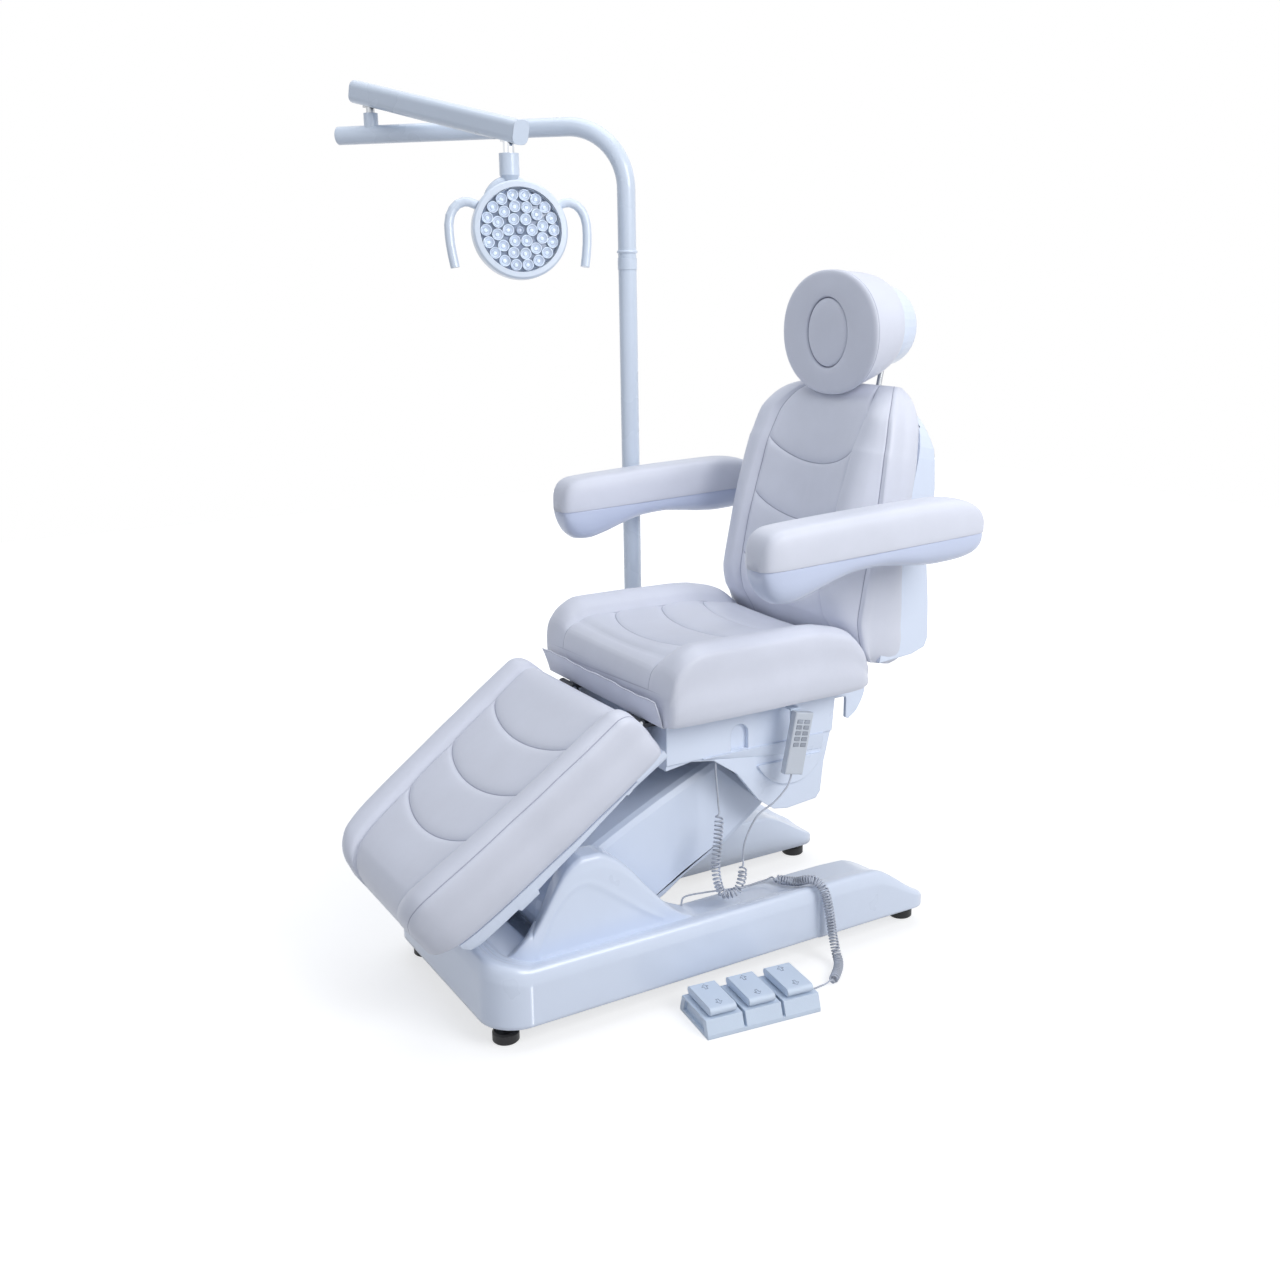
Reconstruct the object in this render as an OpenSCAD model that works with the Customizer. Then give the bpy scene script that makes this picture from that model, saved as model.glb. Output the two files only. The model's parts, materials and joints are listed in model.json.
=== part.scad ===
/* [Base] */
// Outside width of the moulded base cover
base_w = 540; // [500:10:580]
// Length of the base cover
base_l = 1074; // [1040:2:1110]
// How far the base cover's middle lies behind the midpoint of the feet
base_shift = 3; // [0:1:8]
// Height of the cover's side rim above the floor
rim_z = 160; // [150:1:175]
// Height of the cover's inner top above the floor
tray_z = 142; // [132:1:148]
// Height of the cover's lower edge above the floor
cover_gap = 45; // [40:1:52]
// Width of each side arm of the cover
arm_w = 130; // [110:2:134]
// Radius of the cover's front corners
corner_r = 75; // [60:1:95]
// Wall of the moulded covers
cover_wall = 4; // [3:0.5:5]
// Height of the pivot housings over the cover's top
hump_h = 186; // [170:2:195]
// Length of each pivot housing
hump_l = 400; // [370:5:430]
// Distance of the pivot housing's front from the cover's front
hump_inset = 72; // [66:1:80]
// Distance between the front and rear feet
foot_span_y = 974; // [940:2:990]
// Distance between the left and right feet
foot_span_x = 410; // [390:2:430]
// Diameter of a foot's rubber pad
foot_d = 52; // [44:1:60]
// Height of a foot's rubber pad
foot_h = 22; // [16:1:28]
// Diameter of a foot's threaded stem
stem_d = 12; // [10:1:16]

/* [Frame] */
// Height of the base frame's rails
rail_h = 40; // [30:1:44]
// Width of the base frame's rails
rail_w = 50; // [40:1:60]
// Thickness of the pivot cheeks
cheek_t = 8; // [6:0.5:9]
// Gap between the boom cover and the pivot cheeks on each side
cheek_gap = 4; // [3:0.5:5]
// Diameter of the lift arm's shafts
shaft_d = 25; // [20:1:28]
// Diameter of the parallel link's shafts
link_shaft_d = 16; // [12:1:18]
// Running clearance in radius of every turning bore
run_gap = 0.05; // [0.03:0.01:0.1]
// Overrun of every cut past its face
over = 1; // [0.5:0.5:2]

/* [Lift arm] */
// Distance of the lower pivot behind the cover's front
pivot_behind = 244; // [236:1:252]
// Height of the lower pivot
pivot_z = 190; // [184:1:196]
// Length of the lift arm between its pivots
boom_l = 511; // [500:1:520]
// Angle of the lift arm over level at rest
boom_angle = 25.3; // [24.8:0.1:26]
// Width of the lift arm's moulded cover
boom_w = 250; // [240:1:254]
// Width across the outside of the lift arm's two bars
bars_w = 156; // [140:2:170]
// Thickness of each bar
bar_t = 8; // [6:1:12]
// Depth of each bar
bar_h = 46; // [40:1:52]
// Rearward offset of the link's pivots from the arm's pivots
link_y = 60; // [56:1:62]
// Downward offset of the link's pivots from the arm's pivots
link_z = 20; // [16:1:24]
// Width of the parallel link
link_w = 36; // [30:1:40]
// Depth of the parallel link
link_h = 20; // [18:1:24]

/* [Seat] */
// Width of the seat cushion
seat_w = 556; // [540:2:580]
// Length of the seat cushion
seat_l = 490; // [480:1:496]
// Thickness of the seat cushion at its bolsters
seat_t = 147; // [135:1:155]
// Height of the seat cushion's underside over the upper pivot
seat_over_pivot = 163; // [160:1:168]
// Distance of the seat cushion's front ahead of the upper pivot
seat_ahead = 322; // [318:1:326]
// Half width of the seat's centre panel
seat_panel = 181; // [165:1:195]
// Thickness of the plywood board under the seat cushion
board_t = 12; // [9:1:14]
// Width of the moulded shell under the seat
tub_w = 410; // [396:2:424]
// Wall of the shell under the seat
tub_wall = 14; // [12:1:16]
// Height of a seat frame rail
seat_rail_h = 25; // [20:1:28]
// Width of a seat frame rail
seat_rail_w = 30; // [24:1:34]

/* [Leg rest] */
// Distance of the leg rest's pivot ahead of the seat cushion's front
leg_pivot_ahead = 10; // [8:1:14]
// Distance of the leg rest's pivot under the seat cushion's underside
leg_pivot_under = 11; // [10:1:13]
// Slope of the leg rest at rest
leg_drop = 35.4; // [34.8:0.2:36]
// Length of the leg rest cushion
leg_l = 571; // [550:1:590]
// Width of the leg rest cushion at the knees
leg_rest_w = 506; // [490:2:520]
// Thickness of the leg rest cushion at its edge seams
leg_t = 126; // [118:1:132]
// Height of the leg rest cushion's underside under the pivot
leg_under = 38; // [36:1:42]
// Half width of the leg rest's centre panel at the knees
leg_panel = 186; // [170:1:195]
// Depth of the leg rest's moulded pan
leg_pan_t = 22; // [18:1:26]

/* [Backrest] */
// Lean of the backrest at rest
back_lean = 12; // [11.6:0.1:12.4]
// Distance of the backrest's pivot behind the seat cushion
back_pivot_behind = 25; // [23:1:28]
// Distance of the backrest's pivot under the seat cushion's underside
back_pivot_under = 11; // [10:1:14]
// Height of the backrest cushion's top over the pivot
back_h = 629; // [610:1:640]
// Width of the backrest cushion
back_w = 508; // [490:2:520]
// Depth of the backrest cushion's side band
back_t = 88; // [82:1:94]
// Half width of the backrest's centre panel
back_panel = 150; // [140:1:165]
// Depth of the moulded shell behind the backrest cushion
back_shell_t = 120; // [110:1:126]
// Width of the moulded shell behind the backrest cushion
back_shell_w = 480; // [460:2:484]

/* [Headrest] */
// Width of the headrest cushion
head_w = 330; // [310:2:350]
// Height of the headrest cushion
head_h = 264; // [250:1:270]
// Depth of the headrest cushion
head_t = 92; // [84:1:96]
// Width of the breathing hole's plug
plug_w = 136; // [120:1:150]
// Height of the breathing hole's plug
plug_h = 146; // [130:1:156]
// Depth of the breathing hole's plug
plug_t = 34; // [26:1:40]
// Diameter of the headrest's posts
head_post_d = 12; // [10:1:14]
// Distance between the headrest's posts
head_post_span = 120; // [100:2:140]
// Height of the headrest's tilt axis over the backrest cushion's top
head_axis_over = 105; // [101:1:112]

/* [Armrests] */
// Distance of an armrest's middle from the chair's middle
armrest_x = 390; // [384:1:394]
// Length of an armrest's pad
armrest_l = 530; // [510:2:540]
// Width of an armrest's pad
armrest_w = 94; // [86:1:98]
// Height of an armrest's pad
armrest_t = 76; // [68:1:82]
// Depth of an armrest's moulded shell under its pad
armrest_shell_t = 62; // [54:1:66]
// Diameter of an armrest's pivot hub
hub_d = 44; // [36:1:50]
// Diameter of an armrest's pivot shaft
hub_shaft_d = 20; // [16:1:24]

/* [Lamp stand] */
// Distance of the post's axis outside the base cover
post_out = 210; // [200:1:240]
// Distance of the post's axis behind the midpoint of the feet
post_y = 195; // [180:1:205]
// Outside diameter of the post and the lower arm
tube_d = 42.4; // [38:0.1:48.3]
// Wall of the post and the lower arm
tube_wall = 2.6; // [2:0.1:3.2]
// Height of the joint between the lower and the upper post
joint_z = 1450; // [1400:5:1500]
// Height of the lower arm's middle
lower_arm_z = 1744; // [1720:1:1760]
// Bend radius of the upper tube's middle line
bend_r = 140; // [110:1:150]
// Direction of the lower arm, from the X axis
lower_arm_turn = 223; // [220:1:226]
// Reach of the lower arm from the post's axis to its end
lower_arm_l = 720; // [700:5:760]
// Distance of the elbow's axis from the lower arm's end
elbow_inset = 85; // [70:1:95]
// Height of the boss that carries the elbow's pin
boss_h = 27; // [22:1:32]
// Diameter of the elbow's boss
boss_d = 34; // [30:1:40]
// Diameter of the elbow's pin
elbow_pin_d = 20; // [16:1:22]
// Gap between the elbow's boss and the upper arm
elbow_gap = 15; // [13:1:18]
// Direction of the upper arm, from the X axis
upper_arm_turn = 18.2; // [12:0.2:20]
// Length of the upper arm between its pivots
upper_arm_l = 487; // [470:1:500]
// Drop of the upper arm under level at rest
upper_arm_drop = 13.2; // [12:0.2:14]
// Width of the upper arm's tube
upper_arm_w = 46; // [42:1:50]
// Height of the upper arm's tube
upper_arm_h = 52; // [48:1:56]
// Length of the upper arm past its elbow pivot
upper_arm_tail = 46; // [40:1:52]
// Length of the upper arm past its lamp pivot
upper_arm_nose = 38; // [34:1:44]
// Wall of the upper arm's tube
upper_arm_wall = 3; // [2.5:0.5:4]

/* [Lamp] */
// Diameter of the lamp's chrome pin
lamp_pin_d = 25; // [22:1:28]
// Length of the lamp's chrome pin that shows
lamp_pin_show = 24; // [18:1:30]
// Length of the yoke's socket
socket_h = 46; // [40:1:56]
// Diameter of the yoke's socket
socket_d = 44; // [38:1:48]
// Height of the yoke between its socket and the lamp's axis
yoke_h = 128; // [122:1:134]
// Thickness of the yoke's prongs
prong_d = 17; // [14:1:20]
// Distance between the middles of the yoke's prongs
prong_span = 108; // [104:1:116]
// Direction that the lamp faces, from the X axis
lamp_turn = -13; // [-20:1:10]
// Upward tilt of the lamp at rest
lamp_tilt = 6; // [0:1:8]
// Diameter of the lamp head
lamp_d = 208; // [200:2:212]
// Depth of the lamp head's rim
lamp_rim_t = 44; // [38:1:50]
// Diameter of the lamp's lens
lens_d = 178; // [170:1:182]
// Thickness of the lamp's lens
lens_t = 4; // [3:0.5:5]
// Distance from the lamp's tilt axis to its front face
lamp_front = 100; // [94:1:106]
// Diameter of one lens cup of the lamp's light points
led_d = 22; // [18:1:24]
// Diameter of the lamp's handle tubes
handle_d = 20; // [16:1:24]

/* [Footswitch] */
// Width of one pedal module
module_w = 78; // [74:1:84]
// Gap between two pedal modules' walls
module_gap = 6; // [5:1:8]
// Depth of the footswitch from toe to heel
module_l = 126; // [118:1:134]
// Height of the footswitch's housing
module_h = 36; // [30:1:40]
// Width of a rocker pedal
pedal_w = 56; // [50:1:60]
// Length of a rocker pedal
pedal_l = 104; // [96:1:108]
// Thickness of a rocker pedal
pedal_t = 16; // [14:1:20]
// Sideways place of the footswitch's middle
switch_x = 368; // [364:1:372]
// Lengthways place of the footswitch's middle
switch_y = -36; // [-40:1:-32]
// Turn of the footswitch
switch_turn = -7; // [-8:0.5:-6]

/* [Handset] */
// Height of the handset
handset_h = 130; // [124:1:140]
// Width of the handset
handset_w = 45; // [42:1:52]
// Thickness of the handset
handset_t = 18; // [16:1:20]
// Lean of the handset on its hook
handset_lean = 12; // [10:0.5:14]
// Width of one handset button
button_w = 13; // [11:0.5:14]
// Height of one handset button
button_h = 7; // [6:0.5:8]
// How far a handset button stands out
button_out = 2; // [1.5:0.5:3]
// Height step between the rows of handset buttons
button_pitch = 12; // [11:0.5:13]

/* [Cords] */
// Diameter of the thin lead
lead_d = 4; // [3.6:0.1:4.4]
// Outside diameter of a curly cord
curl_d = 21; // [19:0.5:22]
// Curls on the handset's cord
handset_curls = 21; // [16:1:26]
// Curls on the footswitch's cord
switch_curls = 28; // [22:1:32]

/* [Hidden] */
$fn = 48;

white = "#e9edf6";
leather = "#e7e6ef";
steel = "#b9bec8";
dark = "#2b2d33";

// Small gap between pieces that touch in use
seat_gap = 0.3;
// Small step that keeps rounded ends from closing to a point
nib = 2;
// Narrow border of a moulding
lip = 4;
// Edge radius of the moulded pieces
soft_r = 6;

// Points of an arc from one angle to another
function arc(cy, cz, r, a0, a1, n) =
  [for (i = [0:n]) let (a = a0 + (a1 - a0) * i / n) [cy + r * cos(a), cz + r * sin(a)]];
function unit(v) = v / norm(v);
function mix(a, b, t) = a + (b - a) * t;

// Outline moved inward by d, each point along the mean of its two edges' normals
function inset(points, d) = let (n = len(points)) [for (i = [0:n - 1])
  let (before = unit(points[i] - points[(i + n - 1) % n]), after = unit(points[(i + 1) % n] - points[i]),
    normal = unit([-before[1] - after[1], before[0] + after[0]]),
    spread = max(normal * [-after[1], after[0]], 0.5))
  points[i] + normal * d / spread];

// Solid skin over rings of equally many points, closed by flat ends
module skin(rings) {
  n = len(rings[0]);
  m = len(rings);
  sides = [for (i = [0:m - 2], j = [0:n - 1]) let (k = (j + 1) % n)
    each [[i * n + j, i * n + k, (i + 1) * n + k], [i * n + j, (i + 1) * n + k, (i + 1) * n + j]]];
  first = [for (j = [n - 1:-1:0]) j];
  last = [for (j = [0:n - 1]) (m - 1) * n + j];
  polyhedron([for (ring = rings) each ring], concat([first], sides, [last]));
}

// Moulded plate across X: a side outline, counter-clockwise in Y and Z, with rounded edges
module moulded(outline, x0, x1, r) {
  steps = [[0, 1], [0.3, 0.3], [1, 0]];
  low = [for (s = steps) [x0 + s[0] * r, s[1] * r]];
  high = [for (i = [len(steps) - 1:-1:0]) [x1 - steps[i][0] * r, steps[i][1] * r]];
  skin([for (s = concat(low, high)) [for (p = inset(outline, s[1])) [s[0], p[0], p[1]]]]);
}

// Plate across X with sharp edges from a side outline
module plate(outline, x0, x1)
  translate([x0, 0, 0]) rotate([90, 0, 90]) linear_extrude(x1 - x0) polygon(outline);

// Round bar across X
module across(d, x0, x1, y = 0, z = 0)
  translate([x0, y, z]) rotate([0, 90, 0]) cylinder(d = d, h = x1 - x0);

// The same pieces on both sides of the chair
module both() {
  children();
  mirror([1, 0, 0]) children();
}

// Rounded block standing on its middle
module block(size, r) {
  translate([-size[0] / 2 + r, -size[1] / 2, 0]) cube([size[0] - 2 * r, size[1], size[2]]);
  translate([-size[0] / 2, -size[1] / 2 + r, 0]) cube([size[0], size[1] - 2 * r, size[2]]);
  for (x = [-1, 1], y = [-1, 1])
    translate([x * (size[0] / 2 - r), y * (size[1] / 2 - r), 0]) cylinder(r = r, h = size[2]);
}

// Places that the pieces share
front_y = base_shift - base_l / 2;
rear_y = base_shift + base_l / 2;
arm_in = base_w / 2 - arm_w;
low_y = front_y + pivot_behind;
high_y = low_y + boom_l * cos(boom_angle);
high_z = pivot_z + boom_l * sin(boom_angle);
seat_y = high_y - seat_ahead;
seat_end_y = seat_y + seat_l;
seat_z = high_z + seat_over_pivot;
leg_pivot_y = seat_y - leg_pivot_ahead;
leg_pivot_z = seat_z - leg_pivot_under;
back_pivot_y = seat_end_y + back_pivot_behind;
back_pivot_z = seat_z - back_pivot_under;
cheek_x = boom_w / 2 + cheek_gap;
post_x = -base_w / 2 - post_out;

module at_leg() translate([0, leg_pivot_y, leg_pivot_z]) rotate([leg_drop, 0, 0]) children();
module at_back() translate([0, back_pivot_y, back_pivot_z]) rotate([-back_lean, 0, 0]) children();

// Rail and bracket sizes of the frames
rail_x = foot_span_x / 2;
rail_z = cover_gap + nib;
lug_t = 8;
lug_x = link_w / 2 + nib;
lug_r = 15;
pivot_r = 24;
frame_inset = 40;
cross_y = low_y - rail_w / 2;
cross_l = link_y + rail_w + lug_r;

module base_frame() {
  color(dark) {
    rail_y0 = front_y + frame_inset;
    rail_y1 = rear_y - tail_l - 2 * nib;
    both() translate([rail_x - rail_w / 2, rail_y0, rail_z])
      cube([rail_w, rail_y1 - rail_y0, rail_h]);
    both() translate([rail_x - rail_w / 2, rail_y0, rail_z])
      cube([rail_w, foot_span_y / 2 + foot_d / 2 - rail_y0, cheek_t]);
    translate([-rail_x, rail_y0, rail_z]) cube([2 * rail_x, rail_w, rail_h]);
    translate([-rail_x, cross_y, rail_z]) cube([2 * rail_x, cross_l, rail_h]);
    both() difference() {
      plate(concat([[low_y - rail_w / 2, rail_z + rail_h - over]],
        [[low_y + rail_w, rail_z + rail_h - over]],
        arc(low_y, pivot_z, pivot_r, 0, 180, 12)), cheek_x, cheek_x + cheek_t);
      across(shaft_d, cheek_x - over, cheek_x + cheek_t + over, low_y, pivot_z);
    }
    both() difference() {
      plate(concat([[low_y + link_y - lug_r, rail_z + rail_h - over]],
        [[low_y + link_y + lug_r, rail_z + rail_h - over]],
        arc(low_y + link_y, pivot_z - link_z, lug_r, 0, 180, 12)), lug_x, lug_x + lug_t);
      across(link_shaft_d, lug_x - over, lug_x + lug_t + over, low_y + link_y, pivot_z - link_z);
    }
  }
}

// Side view of the pivot housing, in shares of its length and height from its front
hump_share = [[0, 0], [0.035, 0.06], [0.065, 0.16], [0.095, 0.34], [0.135, 0.53], [0.18, 0.7], [0.24, 0.85],
  [0.31, 0.95], [0.38, 1], [0.46, 1], [0.53, 0.94], [0.6, 0.82], [0.66, 0.68], [0.72, 0.52],
  [0.78, 0.37], [0.84, 0.23], [0.91, 0.1], [1, 0]];
// Cross view of a cover arm: place across it, rise from tray to rim, and share of the pivot housing
arm_share = [[0, 0, 0.9], [0.05, 0, 0.97], [0.12, 0, 1], [0.42, 0, 1], [0.49, 0, 0.97], [0.53, 0.02, 0.86],
  [0.56, 0.12, 0], [0.62, 0.3, 0], [0.66, 0.26, 0], [0.7, 0.55, 0], [0.75, 0.62, 0], [0.78, 0.58, 0],
  [0.83, 0.96, 0], [0.89, 1, 0], [0.94, 0.85, 0], [0.98, 0.3, 0]];
// Rear end of a cover arm: place in lengths of the tail, height, and width
tail_share = [[1, 0.05, 0.62], [0.94, 0.13, 0.8], [0.82, 0.23, 0.92], [0.66, 0.36, 0.985], [0.45, 0.57, 1],
  [0.18, 0.84, 1], [0, 0.97, 1]];
tail_l = 175;
side_step_y = 208;
side_step = 3;

// One ring of the cover: from inner to outer point, with its top height and the housing's rise
function cover_ring(inner, outer, top, rise, shoulder) = let (rim = rim_z - tray_z) concat(
  [[inner[0], inner[1], cover_gap]],
  [for (s = arm_share) let (p = mix(inner, outer, s[0]),
    z = cover_gap + (tray_z + rim * s[1] - cover_gap) * top + rise * s[2]) [p[0], p[1], z]],
  [[outer[0], outer[1], cover_gap + (rim_z - shoulder - cover_gap) * top]],
  [[outer[0], outer[1], cover_gap]]);
inner_bend = 20;
corner_run = 150;
front_rise = 0.15;
function inner_y(y) = let (y0 = front_y + corner_r, y1 = y0 + corner_run)
  y > y1 ? y : mix(front_y + arm_w + inner_bend, y1, (y - y0) / corner_run);
function cover_side() = let (y1 = rear_y - tail_l, y0 = front_y + corner_r, w = base_w / 2,
    hump_y = front_y + hump_inset, bend = inner_bend) concat(
  [for (s = tail_share) let (mid = mix(arm_in, w, 0.5), half = arm_w / 2 * s[2], y = y1 + tail_l * s[0])
    cover_ring([mid - half, y], [mid + half, y], s[1], 0, corner_r / 3)],
  [for (i = [1:4]) let (y = mix(y1, hump_y + hump_l, i / 5))
    cover_ring([arm_in, y], [w - (y < side_step_y ? side_step : 0), y], 1, 0, corner_r / 3)],
  [for (i = [len(hump_share) - 1:-1:1]) let (y = hump_y + hump_l * hump_share[i][0])
    cover_ring([arm_in, inner_y(y)], [w - side_step, max(y, y0 + nib)], 1,
      hump_h * hump_share[i][1], corner_r / 3)],
  [for (i = [0:5]) let (a = 90 * i / 5, ci = [arm_in - bend, front_y + arm_w + bend],
    co = [w - corner_r, y0])
    cover_ring(ci + bend * [cos(a), -sin(a)], co + (corner_r - side_step * cos(a)) * [cos(a), -sin(a)],
      1 + front_rise * sin(a), 0, corner_r / 3)]);
function flipped(rings) = [for (i = [len(rings) - 1:-1:0]) [for (p = rings[i]) [-p[0], p[1], p[2]]]];

module base_cover() {
  color(white) difference() {
    half = cover_side();
    skin(concat(half, flipped(half)));
    hollow_z = tray_z - 3 * cover_wall;
    inner_w = arm_w - 2 * cover_wall - side_step - over;
    both() {
      translate([arm_in + cover_wall, front_y + corner_r, cover_gap - over])
        cube([inner_w, base_l - tail_l - corner_r - nib, hollow_z - cover_gap + over]);
      translate([rail_x - rail_w / 2 - nib, 0, cover_gap - over])
        cube([rail_w + 2 * nib, foot_span_y / 2 + foot_d / 2 + nib, over + nib + cheek_t]);
    }
    translate([-rail_x, cross_y - nib, cover_gap - over])
      cube([2 * rail_x, cross_l + 2 * nib, rail_z + rail_h - cover_gap + over + nib]);
    half_bar = rail_x + rail_w / 2 + nib;
    translate([-half_bar, front_y + frame_inset - nib, cover_gap - over])
      cube([2 * half_bar, arm_w - frame_inset + nib - cover_wall, hollow_z - cover_gap + over]);
  }
}

module levelling_feet() {
  for (x = [-1, 1], y = [-1, 1]) translate([x * foot_span_x / 2, y * foot_span_y / 2, 0]) {
    color(dark) rotate_extrude() polygon([[0, 0], [foot_d / 2 - nib, 0], [foot_d / 2, nib],
      [foot_d / 2, foot_h - 2 * nib], [foot_d / 2 - 2 * nib, foot_h], [0, foot_h]]);
    color(steel) translate([0, 0, foot_h]) cylinder(d = stem_d, h = rail_z - foot_h);
  }
}

module base_shafts() {
  color(steel) {
    across(shaft_d, -cheek_x - cheek_t, cheek_x + cheek_t, low_y, pivot_z);
    across(link_shaft_d, -lug_x - lug_t, lug_x + lug_t, low_y + link_y, pivot_z - link_z);
  }
}

// Bracket that holds the lamp's post beside the base
clamp_wall = 6;
clamp_h = 120;
bracket_w = 60;
bracket_t = 12;
post_gap = 0.1;

module post_bracket() {
  bracket_z = cover_gap - nib - bracket_t;
  color(dark) difference() {
    union() {
      translate([post_x, post_y - bracket_w / 2, bracket_z])
        cube([-rail_x + rail_w / 2 - post_x, bracket_w, bracket_t]);
      translate([-rail_x - rail_w / 2, post_y - bracket_w / 2, bracket_z])
        cube([rail_w, bracket_w, rail_z - bracket_z]);
      translate([post_x, post_y, bracket_z]) cylinder(d = tube_d + 2 * clamp_wall, h = clamp_h);
    }
    translate([post_x, post_y, rail_z]) cylinder(r = tube_d / 2 + post_gap, h = clamp_h);
  }
}

// Joint in the post: a sleeve on the lower tube takes the upper tube's spigot
sleeve_h = 26;
spigot_l = 60;
spigot_d = tube_d - 2 * tube_wall;

module lower_post() {
  color(white) translate([post_x, post_y, 0]) {
    difference() {
      union() {
        translate([0, 0, rail_z]) cylinder(d = tube_d, h = joint_z - rail_z);
        translate([0, 0, joint_z - sleeve_h]) cylinder(d = tube_d + tube_wall, h = sleeve_h);
      }
      translate([0, 0, rail_z - over]) cylinder(d = spigot_d - tube_wall, h = joint_z);
      translate([0, 0, joint_z - spigot_l - over])
        cylinder(r = spigot_d / 2 + run_gap, h = spigot_l + 2 * over);
    }
  }
}

// Side view of the lift arm's cover in its own frame, in lengths of the arm
boom_low_share = [[0.19, -0.24], [0.35, -0.236], [0.463, -0.219], [0.68, -0.217], [0.84, -0.19], [0.93,
  -0.17],
  [0.925, -0.13]];
boom_top_share = [[0.81, 0.14], [0.79, 0.156], [0.65, 0.163], [0.5, 0.167], [0.35, 0.167]];

function turned(points, a, y, z) = [for (p = points)
  [y + p[0] * cos(a) - p[1] * sin(a), z + p[0] * sin(a) + p[1] * cos(a)]];
function boom_outline() = turned(concat(boom_l * boom_low_share, boom_l * boom_top_share,
  arc(0, 0, boom_l * 0.16, 82, 240, 12)), boom_angle, low_y, pivot_z);

module boom_cover() {
  color(white) difference() {
    moulded(boom_outline(), -boom_w / 2, boom_w / 2, 3 * soft_r);
    roof = boom_l * 0.15;
    plate(turned([[-boom_l * 0.12, -boom_l], [boom_l, -boom_l], [boom_l, roof], [boom_l * 0.2, roof],
      [0, boom_l * 0.13], [-boom_l * 0.12, 0]], boom_angle, low_y, pivot_z),
      -boom_w / 2 + 2 * soft_r, boom_w / 2 - 2 * soft_r);
    across(shaft_d + 2 * nib, -boom_w, boom_w, low_y, pivot_z);
  }
}

module boom_frame() {
  tube = 2 * pivot_r - 2 * nib;
  color(dark) difference() {
    union() {
      both() translate([0, low_y, pivot_z]) rotate([boom_angle, 0, 0])
        translate([bars_w / 2 - bar_t, 0, -bar_h / 2]) cube([bar_t, boom_l, bar_h]);
      across(tube, -bars_w / 2 - nib, bars_w / 2 + nib, low_y, pivot_z);
      across(tube, -bars_w / 2 - nib, bars_w / 2 + nib, high_y, high_z);
      mid_up = bar_h / 2 - bar_t;
      translate([0, low_y, pivot_z]) rotate([boom_angle, 0, 0])
        for (s = [0.25, 0.62])
          across(bar_t * 2, 2 * soft_r + seat_gap - boom_w / 2,
            boom_w / 2 - 2 * soft_r - seat_gap, boom_l * s, mid_up);
    }
    across(shaft_d + 2 * run_gap, -boom_w, boom_w, low_y, pivot_z);
    across(shaft_d + 2 * run_gap, -boom_w, boom_w, high_y, high_z);
  }
}

module parallel_link() {
  color(steel) difference() {
    union() {
      translate([0, low_y + link_y, pivot_z - link_z]) rotate([boom_angle, 0, 0])
        translate([-link_w / 2, lug_r * 0.8, -link_h / 2]) cube([link_w, boom_l - lug_r * 1.6,
          link_h]);
      for (p = [[low_y, pivot_z], [high_y, high_z]])
        across(2 * lug_r, -link_w / 2, link_w / 2, p[0] + link_y, p[1] - link_z);
    }
    across(link_shaft_d + 2 * run_gap, -link_w, link_w, low_y + link_y, pivot_z - link_z);
    // the far pivot is the one left open, with more room round its shaft
    across(link_shaft_d + 2 * over, -link_w, link_w, high_y + link_y, high_z - link_z);
  }
}

// Seat frame: rails under the board, cheeks for the lift arm, ears for the leg rest and the backrest
rails_x = 155;
rails_z = seat_z - board_t - seat_rail_h;
leg_ear_w = 28;
leg_pin_d = 10;
leg_knuckle_d = 20;
back_pin_d = 14;
back_ear_t = 8;
back_ear_x = rails_x + seat_rail_w / 2;
ear_gap = 1;

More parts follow.
